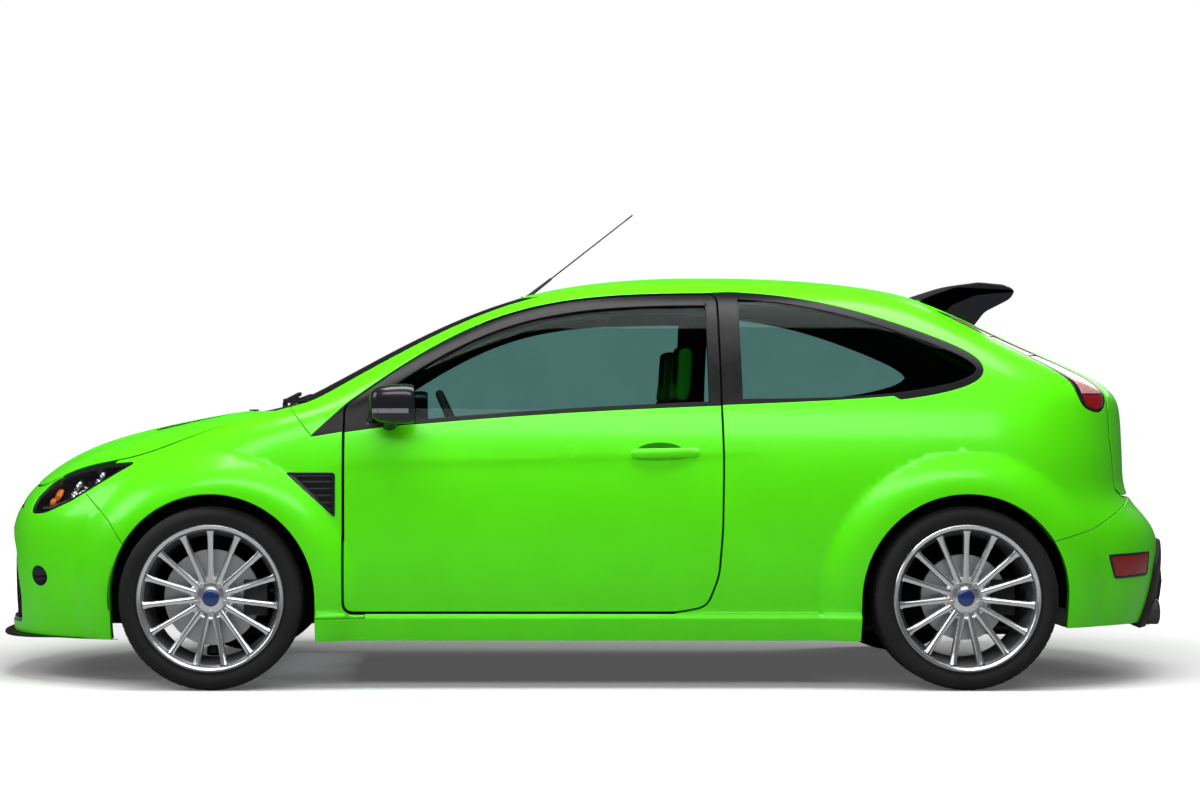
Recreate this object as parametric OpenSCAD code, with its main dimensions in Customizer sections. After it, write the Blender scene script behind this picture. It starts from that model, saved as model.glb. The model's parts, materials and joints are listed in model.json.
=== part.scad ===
// Three-door hot hatchback: a hollow unibody with opening doors, bonnet and tailgate.
// The nose points along -X, the left side along -Y, and the tyres stand on z = 0.

/* [Overall] */
// Distance between the wheel centres
wheelbase = 2640; // [2560:10:2720]
// Half of the overall length
half_length = 2201; // [2190:1:2230]
// Height of the roof over the ground
roof_height = 1476; // [1440:1:1500]
// Distance between the tyre centres on one axle
track = 1586; // [1570:2:1592]
// Spring of the flares over the front wheels
front_flare = 45; // [30:1:48]
// Spring of the flares over the rear wheels
rear_flare = 31; // [20:1:34]

/* [Wheels] */
// Outside diameter of a tyre
tyre_d = 644; // [620:2:650]
// Width of a tyre
tyre_w = 235; // [215:5:235]
// Diameter of the rim where the tyre sits
rim_d = 483; // [457:1:483]
// Number of spokes
spokes = 15; // [10:1:16]
// Diameter of the front brake discs
front_disc_d = 336; // [300:2:340]
// Diameter of the rear brake discs
rear_disc_d = 300; // [260:2:310]
// Radius of the wheel arch openings
arch_r = 364; // [360:1:380]

/* [Panels] */
// Thickness of the body sides, doors and tailgate
wall = 52; // [40:1:60]
// Thickness of the bonnet and the roof with their frames
lid_wall = 24; // [16:1:30]
// Thickness of the wings and bumper covers
cover_wall = 5; // [4:0.5:8]
// Thickness of the glass
glass = 5; // [4:0.5:8]
// Shut line round the doors, bonnet and tailgate
shut_gap = 7; // [6:0.5:9]
// Gap round panels that are bolted or bonded in place
seam = 0.5; // [0.3:0.1:0.9]

/* [Joints] */
// Diameter of the hinge pins
pin_d = 8; // [6:1:10]
// Running clearance of a pin in its eye
pin_play = 0.1; // [0.05:0.01:0.1]

/* [Hidden] */
$fn = 48;
axle_f = -wheelbase / 2 - 15;
axle_r = axle_f + wheelbase;
hub_z = tyre_d / 2;
hub_y = track / 2;

// Smooth curve through evenly spaced control values

function held(c, i) = i < 0 ? 2 * c[0] - c[1] : i >= len(c) ? 2 * c[len(c) - 1] - c[len(c) - 2] : c[i];
function glide(c, u) =
    let (i = max(0, min(len(c) - 2, floor(u))), t = u - i)
    (pow(1 - t, 3) * held(c, i - 1) + (3 * pow(t, 3) - 6 * pow(t, 2) + 4) * held(c, i)
    + (3 * t + 3 * pow(t, 2) - 3 * pow(t, 3) + 1) * held(c, i + 1) + pow(t, 3) * held(c, i + 2)) / 6;
function sweep(c, n) = [for (k = [0:n]) glide(c, (len(c) - 1) * k / n)];
function by_height(c, z) = glide(c, (z - 100) / 100);

// Centreline of the body from under the nose to the top of the roof, and from under the tail
roof_x = 441;
nose_line = [[-2150, 130], [-2158, 200], [-2163, 290], [-2164, 390], [-2163, 480], [-2152, 570], [-2118, 650],
    [-2052, 728], [-1955, 795], [-1840, 846], [-1700, 890], [-1540, 926], [-1370, 957], [-1200, 986],
    [-1080, 1012], [-985, 1058], [-860, 1125], [-720, 1202], [-570, 1278], [-420, 1344], [-250, 1403],
    [-60, 1444], [170, 1468], [roof_x, roof_height]];
tail_line = [[2080, 130], [2112, 220], [2130, 310], [2140, 400], [2142, 470], [2130, 535], [2092, 590],
    [2040, 640], [2006, 695], [1999, 770], [1997, 845], [1994, 915], [1986, 985], [1962, 1035], [1905, 1078],
    [1820, 1118], [1700, 1168], [1570, 1226], [1430, 1296], [1310, 1354], [1190, 1406], [1000, 1441],
    [760, 1466], [roof_x, roof_height]];

// Half width of the body by height, from 100 mm up in steps of 100 mm
half_widths = [770, 822, 856, 874, 883, 888, 889, 884, 867, 836, 794, 745, 688, 632, 560];
// Where the nose and the tail start to round in, and how square they are, at the same heights
nose_starts = [-1000, -1000, -1000, -1000, -1000, -1000, -1000, -1000, -1000, -800, -490, -290, -90, 190, 470];
tail_starts = [1400, 1400, 1400, 1420, 1420, 1420, 1400, 1390, 1380, 1360, 1270, 1080, 930, 740, 330];
nose_powers = [2.7, 2.7, 2.7, 2.7, 2.7, 2.7, 2.5, 2.3, 2.2, 3.2, 4.4, 4.4, 4.4, 4.4, 4.4];
tail_powers = [2.5, 2.5, 2.5, 2.5, 2.5, 2.5, 2.5, 2.6, 2.6, 2.8, 3.6, 4, 4, 4, 4];
crown_start = 1250;
crown_power = 4;

function line_at(c, value, axis, lo, hi, n = 22) =
    let (mid = (lo + hi) / 2)
    n == 0 ? mid : glide(c, mid)[axis] < value ? line_at(c, value, axis, mid, hi, n - 1)
    : line_at(c, value, axis, lo, mid, n - 1);
function nose_x(z) = glide(nose_line, line_at(nose_line, z, 1, 0, len(nose_line) - 1))[0];
function tail_x(z) = glide(tail_line, line_at(tail_line, z, 1, 0, len(tail_line) - 1))[0];
function top_z(x) = x < roof_x ? glide(nose_line, line_at(nose_line, x, 0, 4, len(nose_line) - 1))[1]
    : glide(tail_line, line_at([for (p = tail_line) -p], -x, 0, 12, len(tail_line) - 1))[1];
function crown(z) = z <= crown_start ? 1
    : pow(max(0, 1 - pow((z - crown_start) / (roof_height - crown_start), crown_power)), 1 / crown_power);
function half_width(z) = by_height(half_widths, z) * crown(z);
function round_in(t, power) = t <= 0 ? 1 : t >= 1 ? 0 : pow(1 - pow(t, power), 1 / power);

// Flare over a wheel: full at the opening, running out in a crease
flare_in = 385;
flare_out = 508;
function flare_at(x, z, x_axle, spring) =
    let (t = (norm([x - x_axle, z - hub_z]) - flare_in) / (flare_out - flare_in))
    t >= 1 ? 0 : spring * cos(90 * max(0, t));
// Skirt along the sill, standing out under a ledge
skirt_top = 266;
skirt_out = 20;
function skirt_at(x, z) = abs(x - (axle_f + axle_r) / 2) > wheelbase / 2 ? 0
    : skirt_out * max(0, min(1, (skirt_top - z) / 12));

// Skin of the body: half width at a point of the side, height at a point of the plan,
// and the nose and tail at a point of the front view
function skin_y(x, z) =
    let (a = by_height(nose_starts, z), b = by_height(tail_starts, z))
    (x < a ? half_width(z) * round_in((a - x) / max(1, a - nose_x(z)), by_height(nose_powers, z))
    : x > b ? half_width(z) * round_in((x - b) / max(1, tail_x(z) - b), by_height(tail_powers, z))
    : half_width(z))
    + flare_at(x, z, axle_f, front_flare) + flare_at(x, z, axle_r, rear_flare) + skirt_at(x, z);
function skin_nose(y, z) =
    let (a = by_height(nose_starts, z))
    a - (a - nose_x(z)) * round_in(abs(y) / half_width(z), by_height(nose_powers, z));
function skin_tail(y, z) =
    let (b = by_height(tail_starts, z))
    b + (tail_x(z) - b) * round_in(abs(y) / half_width(z), by_height(tail_powers, z));
function search_z(x, y, lo, hi, n = 20) =
    let (mid = (lo + hi) / 2)
    n == 0 ? mid : skin_y(x, mid) > y ? search_z(x, y, mid, hi, n - 1) : search_z(x, y, lo, mid, n - 1);
function skin_z(x, y) = abs(y) < 1 ? top_z(x) : search_z(x, abs(y), 640, top_z(x));

// Closed slab between two grids of points
module slab(outer, inner) {
    rows = len(outer);
    cols = len(outer[0]);
    size = rows * cols;
    points = [for (row = outer) each row, for (row = inner) each row];
    function at(side, i, j) = side * size + i * cols + j;
    faces = [
        for (i = [0:rows - 2], j = [0:cols - 2]) each [
            [at(0, i, j), at(0, i, j + 1), at(0, i + 1, j)],
            [at(0, i, j + 1), at(0, i + 1, j + 1), at(0, i + 1, j)],
            [at(1, i, j), at(1, i + 1, j), at(1, i, j + 1)],
            [at(1, i, j + 1), at(1, i + 1, j), at(1, i + 1, j + 1)]],
        for (i = [0:rows - 2]) each [
            [at(0, i, 0), at(0, i + 1, 0), at(1, i + 1, 0)], [at(0, i, 0), at(1, i + 1, 0), at(1, i, 0)],
            [at(0, i, cols - 1), at(1, i + 1, cols - 1), at(0, i + 1, cols - 1)],
            [at(0, i, cols - 1), at(1, i, cols - 1), at(1, i + 1, cols - 1)]],
        for (j = [0:cols - 2]) each [
            [at(0, 0, j), at(1, 0, j + 1), at(0, 0, j + 1)], [at(0, 0, j), at(1, 0, j), at(1, 0, j + 1)],
            [at(0, rows - 1, j), at(0, rows - 1, j + 1), at(1, rows - 1, j + 1)],
            [at(0, rows - 1, j), at(1, rows - 1, j + 1), at(1, rows - 1, j)]]];
    polyhedron(points, faces);
}

// Slabs of the skin, set in by a depth, over a stretch of the side, of the plan or of the front and rear views
corner_share = 0.6;
function side_from(z) = skin_nose(corner_share * half_width(z), z);
function side_to(z) = skin_tail(corner_share * half_width(z), z);
module side_slab(x0, x1, z0, z1, nx, nz, depth, thick) {
    grid = [for (j = [0:nz])
        let (z = z0 + (z1 - z0) * j / nz, a = max(x0, side_from(z)), b = min(x1, side_to(z)))
        [for (i = [0:nx]) let (x = a + (b - a) * i / nx) [x, skin_y(x, z), z]]];
    slab([for (row = grid) [for (p = row) p - [0, depth, 0]]],
        [for (row = grid) [for (p = row) p - [0, depth + thick, 0]]]);
}
module top_slab(x0, x1, y1, nx, ny, depth, thick) {
    grid = [for (i = [0:nx]) let (x = x0 + (x1 - x0) * i / nx)
        [for (j = [-ny:ny]) let (y = y1 * j / ny) [x, y, skin_z(x, y) - depth]]];
    slab(grid, [for (row = grid) [for (p = row) p - [0, 0, thick]]]);
}
module end_slab(y1, z0, z1, ny, nz, depth, thick, tail = false) {
    way = tail ? -1 : 1;
    grid = [for (k = [0:nz]) let (z = z0 + (z1 - z0) * k / nz)
        [for (j = [-ny:ny]) let (y = y1 * j / ny)
            [(tail ? skin_tail(y, z) : skin_nose(y, z)) + way * depth, y, z]]];
    inner = [for (row = grid) [for (p = row) p + [way * thick, 0, 0]]];
    if (tail) slab(inner, grid); else slab(grid, inner);
}

// Prisms over an outline drawn in side view, in front view and in plan
module through_side(y0 = 0, y1 = 1100)
    translate([0, y1, 0]) rotate([90, 0, 0]) linear_extrude(y1 - y0) children();
module through_front(x0, x1) translate([x0, 0, 0]) rotate([90, 0, 90]) linear_extrude(x1 - x0) children();
module through_plan(z0, z1) translate([0, 0, z0]) linear_extrude(z1 - z0) children();
module both_sides() { children(); mirror([0, 1, 0]) children(); }

// Outlines of the side
belt_line = [[-985, 884], [-800, 917], [-573, 936], [-323, 957], [0, 978], [300, 992], [600, 1003], [900, 1017],
    [1060, 1030]];
window_top = [[-866, 994], [-680, 1130], [-502, 1238], [-323, 1316], [-145, 1361], [34, 1385], [212, 1395],
    [391, 1397]];
module door_outline() {
    offset(r = 30) offset(delta = -30) polygon([[-868, 272], [300, 272], [400, 292], [440, 400], [452, 560],
        [456, 800], [452, 1000], [452, 1396], each [for (k = [20:-1:0]) glide(window_top, 7 * k / 20)],
        [-868, 900]]);
}
module above_belt(lift)
    polygon([each [for (p = sweep(belt_line, 12)) p + [0, lift]], [1060, 1500], [-985, 1500]]);
module door_window() {
    intersection() { offset(r = 20) offset(delta = -64) door_outline(); above_belt(12); }
}
quarter_top = [[520, 1392], [640, 1384], [770, 1364], [930, 1326], [1105, 1268], [1240, 1216], [1340, 1170],
    [1385, 1122], [1330, 1080], [1190, 1046], [1060, 1030]];
module quarter_window() {
    polygon([[520, 1010], each sweep(quarter_top, 24), [900, 1017], [700, 1012]]);
}
module arch(x) {
    translate([x, hub_z]) circle(arch_r);
    translate([x - arch_r, -10]) square([2 * arch_r, hub_z + 10]);
}

// Nose and tail wrapped round the corners at listed heights, as a shell of one thickness
function ring(z, reach, nt, inset, tail) =
    let (start = by_height(tail ? tail_starts : nose_starts, z),
        power = 2 / by_height(tail ? tail_powers : nose_powers, z),
        deep = (tail ? tail_x(z) : nose_x(z)) - start, wide = half_width(z) - inset)
    [for (j = [-nt:nt])
        let (t = reach * j / nt, x = start + sign(deep) * (abs(deep) - inset) * pow(cos(t), power),
        out = flare_at(x, z, axle_f, front_flare) + flare_at(x, z, axle_r, rear_flare))
        [x, sign(j) * (wide * pow(abs(sin(t)), power) + out), z]];
module wrap_shell(heights, reach, nt, depth, thick, tail = false) {
    outer = [for (z = heights) ring(z, reach, nt, depth, tail)];
    inner = [for (z = heights) ring(z, reach, nt, depth + thick, tail)];
    if (tail) slab(inner, outer); else slab(outer, inner);
}
module lid_shell(heights, reach, nt, thick) {
    outer = [for (z = heights) ring(z, reach, nt, 0, false)];
    slab(outer, [for (row = outer) [for (p = row) p - [0, 0, thick]]]);
}
bumper_top_rear = 664;
cover_heights = [166, 225, 300, 390, 480, 545, 595, 640, 680, 715, 745];
rear_heights = [212, 270, 340, 420, 490, 545, 590, 630, bumper_top_rear - seam];
lid_heights = [for (u = [6.2:0.62:13.1]) glide(nose_line, u)[1]];
gate_heights = [for (u = [7.4:1.2:20.6]) glide(tail_line, u)[1]];
pane_heights = [1040:58:1330];

// Outlines that split the nose: headlamps in side view, the bonnet in plan, the wings in side view
lamp_outline = [[-2030, 606], [-2016, 655], [-1961, 711], [-1879, 757], [-1745, 786], [-1617, 797],
    [-1688, 757], [-1779, 703], [-1856, 658], [-1961, 612]];
module headlamp_outline() offset(r = 8) offset(delta = -8) polygon(lamp_outline);
bonnet_half = [[-2066, 0], [-2056, 220], [-2016, 400], [-1952, 474], [-1872, 516], [-1745, 614], [-1617, 702],
    [-1430, 738], [-1240, 748], [-1160, 742]];
bonnet_rear_z = 978;
module bonnet_outline() polygon([each bonnet_half, for (y = [740:-148:-740]) [skin_nose(y, bonnet_rear_z), y],
    for (k = [len(bonnet_half) - 1:-1:1]) [bonnet_half[k].x, -bonnet_half[k].y]]);
module wing_outline() polygon([[-1400, 250], [-1640, 500], [-1700, 588], [-1806, 690], [-1779, 712],
    [-1690, 800], [-1690, 1015], [-1085, 1015], [-985, 886], [-800, 917], [-800, 250]]);

// Where the roof joins the sides, and the outline of the windscreen in front view
roof_edge = 520;
screen_bottom = [736, 1014];
screen_top = [548, 1392];
screen_sink = 2;
module screen_outline() polygon([[-screen_bottom.x, screen_bottom.y], screen_bottom, screen_top,
    [-screen_top.x, screen_top.y]]);

// Outlines of the tail in rear view, given for one side
function whole(half) = [each half, for (k = [len(half) - 2:-1:1]) [-half[k].x, half[k].y]];
gate_half = [[0, 1420], [470, 1420], [506, 1350], [560, 1200], [610, 1060], [640, 1000], [652, 880], [640, 700],
    [600, 676], [0, 676]];
module gate_outline() polygon(whole(gate_half));
gate_window_half = [[0, 1318], [440, 1306], [470, 1270], [520, 1130], [516, 1088], [470, 1068], [0, 1056]];
module gate_window() offset(r = 25) offset(delta = -25) polygon(whole(gate_window_half));
module lamp_rear_outline() offset(r = 14) offset(delta = -14)
    polygon([[527, 1330], [562, 1345], [596, 1300], [668, 1180], [752, 1040], [756, 985], [700, 968],
        [656, 1000], [616, 1080]]);
gate_front = 1200;
gate_gap = 10;
cowl_gap = 28;
wing_gap = 10;
roof_rear = gate_front - gate_gap;

// Hinge pins: door, tailgate and bonnet
door_pin = [-851, 878];
door_hinges = [560, 780];
gate_pin = [1218, 1380];
gate_hinge_y = 230;
bonnet_pin = [-1172, 960];
bonnet_hinge_y = 690;
lug = 10;
eye_room = 18;
arm_z = 24;
module pin(length, d = pin_d) cylinder(d = d, h = length, center = true);

sill_y = 757;
sill_z = 260;
post_x = [-962, -886];

module door_handle() {
    hull() for (x = [205, 300], z = [822, 838]) translate([x, skin_y(x, z) - 2, z]) sphere(d = 24, $fn = 12);
}
module door() color("limegreen") {
    difference() {
        intersection() { side_slab(-880, 470, 262, 1410, 10, 11, 0, wall); through_side() door_outline(); }
        through_side() door_window();
        for (z = door_hinges) translate([door_pin.x, door_pin.y, z]) {
            translate([-40, -110, -eye_room]) cube([40 + lug + 4, 110 + lug / 2 + 1, 2 * eye_room]);
            pin(2 * eye_room + 30, pin_d + 2 * pin_play);
        }
    }
    door_handle();
}
module door_glass() color([0.3, 0.38, 0.38, 0.5]) intersection() {
    side_slab(-880, 470, 900, 1400, 10, 6, 14, glass);
    through_side() offset(delta = -seam) door_window();
}
module mirror_housing() color("black") {
    hull() {
        for (y = [916, 982], z = [960, 1036]) translate([-750, y, z]) sphere(d = 50, $fn = 12);
        for (y = [908, 988], z = [944, 1054]) translate([-632, y, z]) sphere(d = 36, $fn = 12);
    }
    hull() {
        translate([-690, 905, 962]) sphere(d = 36, $fn = 12);
        translate([-690, mirror_foot_y + 14, 946]) cube([90, 4, 30], center = true);
        translate([-690, mirror_foot_y, 946]) cube([90, 1, 30], center = true);
    }
}
mirror_foot_y = skin_y(-690, 931) - 0.8;

module body_side() color("limegreen") {
    difference() {
        side_slab(-1110, 2040, 168, 1440, 18, 13, 0, wall);
        through_side() offset(delta = shut_gap) door_outline();
        through_side() quarter_window();
        through_side() arch(axle_r);
        through_side() arch(axle_f);
        through_side() offset(delta = seam) wing_outline();
        through_side() polygon([[1300, 100], [axle_r + 300, 520], [1760, 560], [1960, bumper_top_rear],
            [2300, bumper_top_rear], [2300, 100]]);
        translate([-1300, -1, 1300]) cube([1300 + roof_rear + seam, roof_edge + 1 + seam, 200]);
        through_front(-1300, -100) offset(delta = seam) screen_outline();
        translate([-1300, -1, 700]) cube([450, screen_bottom.x + 1, screen_bottom.y - 700 + seam]);
        through_front(1000, 2300) offset(delta = gate_gap) gate_outline();
        through_front(1200, 2300) offset(delta = seam) lamp_rear_outline();
        translate([1150, -1, 600]) cube([1200, 610, 100]);
    }
    translate([post_x[0], sill_y, 180]) cube([880 - post_x[0], 44, sill_z - 180]);
    translate([post_x[0], sill_y, 180]) cube([post_x[1] - post_x[0], 58, 740]);
    for (z = door_hinges) translate([0, 0, z]) {
        translate([post_x[1] - 10, 803, -arm_z / 2]) cube([door_pin.x + lug / 2 - post_x[1] + 10, lug, arm_z]);
        translate([door_pin.x - lug / 2, 803, -arm_z / 2]) cube([lug, door_pin.y - 803, arm_z]);
        translate([door_pin.x, door_pin.y, 0]) pin(2 * eye_room + 24);
    }
}
module roof_panel() color("limegreen") {
    difference() {
        top_slab(-330, roof_rear, roof_edge, 10, 5, 0, lid_wall);
        through_front(-1300, 0) offset(delta = seam) screen_outline();
        translate(aerial_at - [0, 0, 0.4]) cylinder(d = aerial_d + 0.8, h = 100);
    }
    for (y = [-gate_hinge_y, gate_hinge_y]) translate([0, y, 0]) {
        translate([1120, -lug, gate_pin.y - 50]) cube([40, 2 * lug, 72]);
        translate([1120, -lug, gate_pin.y - 50]) cube([gate_pin.x + lug / 2 - 1120, 2 * lug, lug]);
        translate([gate_pin.x - lug / 2, -lug, gate_pin.y - 50]) cube([lug, 2 * lug, 50]);
        translate([gate_pin.x, 0, gate_pin.y]) rotate([90, 0, 0]) pin(2 * eye_room + 30);
    }
}
module windscreen() color([0.2, 0.25, 0.25, 0.5]) intersection() {
    end_slab(745, 1000, 1400, 7, 5, screen_sink, glass);
    through_front(-1300, 0) screen_outline();
}
module cowl_panel() color("black") difference() {
    end_slab(screen_bottom.x - seam, 955, screen_bottom.y + 14, 8, 3, screen_sink + glass + 1, 40);
    through_plan(500, 1200) offset(delta = cowl_gap) bonnet_outline();
    for (y = [-1, 1]) translate([bonnet_pin.x, y * bonnet_hinge_y, 900]) cube([160, 60, 260], center = true);
    for (y = wiper_foot) translate([on_screen(y, 1002, 0).x + 6, y, 900]) cylinder(d = wiper_d + 0.6, h = 200);
}
module bonnet() color("limegreen") difference() {
    intersection() {
        lid_shell(lid_heights, 74, 10, lid_wall);
        through_plan(500, 1100) bonnet_outline();
    }
    for (y = [-bonnet_hinge_y, bonnet_hinge_y]) translate([bonnet_pin.x, y, bonnet_pin.y]) {
        translate([-lug - 4, -eye_room, -60]) cube([80, 2 * eye_room, 60 + pin_d / 2 + 1]);
        rotate([90, 0, 0]) pin(2 * eye_room + 30, pin_d + 2 * pin_play);
    }
}
module front_wing() color("limegreen") {
    difference() {
        intersection() {
            side_slab(-1830, -868, 245, 985, 14, 10, 0, cover_wall);
            through_side() wing_outline();
        }
        through_side() arch(axle_f);
        through_side() offset(delta = seam) headlamp_outline();
        through_side() offset(delta = wing_gap) door_outline();
        through_plan(500, 1100) offset(delta = shut_gap) bonnet_outline();
        translate([-1300, -1, 700]) cube([450, screen_bottom.x + 1, 400]);
    }
    for (x = [-1500, -1250, -1060]) translate([x, rail_y[1] + seam, 735])
        cube([40, skin_y(x + 20, 738) - cover_wall / 2 - rail_y[1] - seam, 6]);
}
module front_bumper() color("limegreen") {
    both_sides() translate([-2030 - seam - 32, 485, 405]) cube([32, 30, 30]);
    front_cover();
}
module front_cover() difference() {
    wrap_shell(cover_heights, 70, 12, 0, cover_wall);
    both_sides() through_side() offset(delta = seam) wing_outline();
    both_sides() through_side() arch(axle_f);
    both_sides() through_side() offset(delta = seam) headlamp_outline();
    both_sides() through_side() polygon([[-1806, 690], [-1985, 770], [-1500, 900], [-1500, 690]]);
    through_plan(500, 1100) offset(delta = shut_gap) bonnet_outline();
    through_front(-2300, -1900) grille_outline();
    through_front(-2300, -1900) slot_outline();
    both_sides() translate([-2100, fog_vent.x, fog_vent.y]) rotate([0, 90, 0]) cylinder(d = fog_d, h = 300);
}
module headlamp() color("silver") difference() {
    intersection() { side_slab(-2045, -1600, 595, 805, 8, 6, 1, 36); through_side() headlamp_outline(); }
    through_plan(500, 1100) offset(delta = shut_gap) bonnet_outline();
}
grille_half = [[0, 540], [330, 540], [430, 470], [470, 300], [440, 205], [0, 205]];
module grille_outline() offset(r = 20) offset(delta = -20) polygon(whole(grille_half));
module slot_outline()
    offset(r = 12) offset(delta = -12) polygon([[-330, 652], [330, 652], [390, 620], [-390, 620]]);
fog_vent = [620, 378];
fog_d = 104;
grille_depth = 10;
module grille_bars() {
    for (z = [232:44:540]) translate([-2300, -500, z]) cube([500, 1000, 16]);
    for (y = [-400:100:400]) translate([-2300, y - 5, 200]) cube([500, 10, 360]);
    difference() {
        translate([-2300, -600, 180]) cube([500, 1200, 400]);
        through_front(-2400, -1700) offset(delta = -16) grille_outline();
    }
}
module front_grille() color("black") {
    intersection() {
        wrap_shell([190, 270, 350, 430, 500, 560], 34, 7, 0, 30);
        translate([grille_depth, 0, 0]) through_front(-2300, -1900) offset(delta = -seam) grille_outline();
        grille_bars();
    }
    intersection() {
        wrap_shell([600, 635, 670], 32, 6, 0, 30);
        through_front(-2300, -1900) offset(delta = -seam) slot_outline();
    }
    splitter();
}
// Lip under the bumper, standing furthest forward at the centre
splitter_z = [148, 166 - seam];
module splitter() difference() {
    intersection() {
        translate([-half_length - nose_x(splitter_z[1]), 0, 0]) wrap_shell(splitter_z, 66, 12, 0, 70);
        translate([-2300, -1000, 0]) cube([700, 2000, 400]);
    }
    both_sides() through_side() arch(axle_f);
}
module rear_bumper() color("limegreen") {
    both_sides() translate([rear_panel[1] + seam, 380, 530])
        cube([skin_tail(410, 560) - rear_panel[1] - seam - 2, 30, 30]);
    rear_cover();
}
module rear_cover() difference() {
    wrap_shell(rear_heights, 83, 13, 0, cover_wall, true);
    both_sides() through_side() polygon([[1300, 800], [axle_r + 300, 520 - seam], [1760, 560 - seam],
        [1960, bumper_top_rear - seam], [1960, 800]]);
    both_sides() through_side() arch(axle_r);
    through_front(1700, 2300) diffuser_outline();
}
diffuser_half = [[0, 505], [440, 505], [530, 430], [560, 190], [0, 190]];
// The diffuser stands proud of the cover, with a keel at the centre that ends the car
diffuser_proud = 14;
module diffuser_outline() polygon(whole(diffuser_half));
module rear_diffuser() color("black") difference() {
    intersection() {
        union() {
            wrap_shell([196, 270, 350, 430, 505], 42, 9, -diffuser_proud, 60, true);
            intersection() {
                translate([1840, -540, 196]) cube([320, 1080, 14]);
                wrap_shell([190, 270], 42, 9, -diffuser_proud, 420, true);
            }
            hull() {
                translate([2110, -80, 300]) cube([10, 160, 150]);
                translate([half_length - 10, -24, 330]) cube([10, 48, 90]);
            }
        }
        through_front(1700, 2300) offset(delta = -seam) diffuser_outline();
    }
    for (y = [-pipe_y, pipe_y]) translate([1600, y, pipe_z]) rotate([0, 90, 0])
        cylinder(d = tip_d + 24, h = 800);
    for (y = [-200:100:200]) translate([1700, y - 40, 180]) cube([435 + 40, 80, 110]);
}
module tail_lamp() color("firebrick") intersection() {
    wrap_shell([960, 1040, 1130, 1220, 1290, 1350], 72, 10, 0, 40, true);
    through_front(1200, 2300) lamp_rear_outline();
}
// The tailgate is a thin skin on a frame that is set in from its edges, so that it swings clear of the lamps
gate_skin = 8;
gate_inset = 24;
module tailgate() color("limegreen") difference() {
    intersection() {
        union() {
            intersection() {
                wrap_shell(gate_heights, 56, 8, 0, gate_skin, true);
                through_front(1000, 2300) gate_outline();
            }
            intersection() {
                wrap_shell(gate_heights, 56, 8, gate_skin - 1, wall - gate_skin, true);
                through_front(1000, 2300) offset(delta = -gate_inset) gate_outline();
            }
        }
        translate([gate_front, -900, 0]) cube([1200, 1800, 2000]);
    }
    through_front(1000, 2300) gate_window();
    for (y = [-gate_hinge_y, gate_hinge_y]) translate([gate_pin.x, y, gate_pin.y]) {
        translate([-40, -eye_room, -80]) cube([40 + lug + 4, 2 * eye_room, 80 + pin_d / 2 + 1]);
        rotate([90, 0, 0]) pin(2 * eye_room + 36, pin_d + 2 * pin_play);
    }
}
module tailgate_glass() color([0.1, 0.12, 0.12, 0.6]) intersection() {
    wrap_shell(pane_heights, 56, 8, 6, glass, true);
    through_front(1000, 2300) offset(delta = -seam) gate_window();
}
module quarter_glass() color([0.2, 0.25, 0.25, 0.6]) intersection() {
    side_slab(500, 1400, 1000, 1400, 7, 6, 3, glass);
    through_side() offset(delta = -seam) quarter_window();
}

// Spoiler: a blade over the rear screen on two fins, cut to sit on the tailgate
spoiler_y = 484;
blade = [[1206, 1393], [1262, 1420], [1342, 1446], [1440, 1459], [1530, 1451], [1566, 1437], [1560, 1427],
    [1500, 1424], [1420, 1416], [1330, 1380], [1290, 1340]];
fin = [[1206, 1393], [1342, 1440], [1560, 1430], [1540, 1396], [1446, 1348], [1380, 1262], [1280, 1300]];
module across(y0, y1) translate([0, y1, 0]) rotate([90, 0, 0]) linear_extrude(height = y1 - y0) children();
module rear_spoiler() color("black") difference() {
    union() {
        across(-spoiler_y, spoiler_y) polygon(blade);
        across(spoiler_y - 44, spoiler_y) polygon(fin);
        across(-spoiler_y, 44 - spoiler_y) polygon(fin);
    }
    wrap_shell(gate_heights, 56, 8, -seam, 500, true);
}

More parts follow.
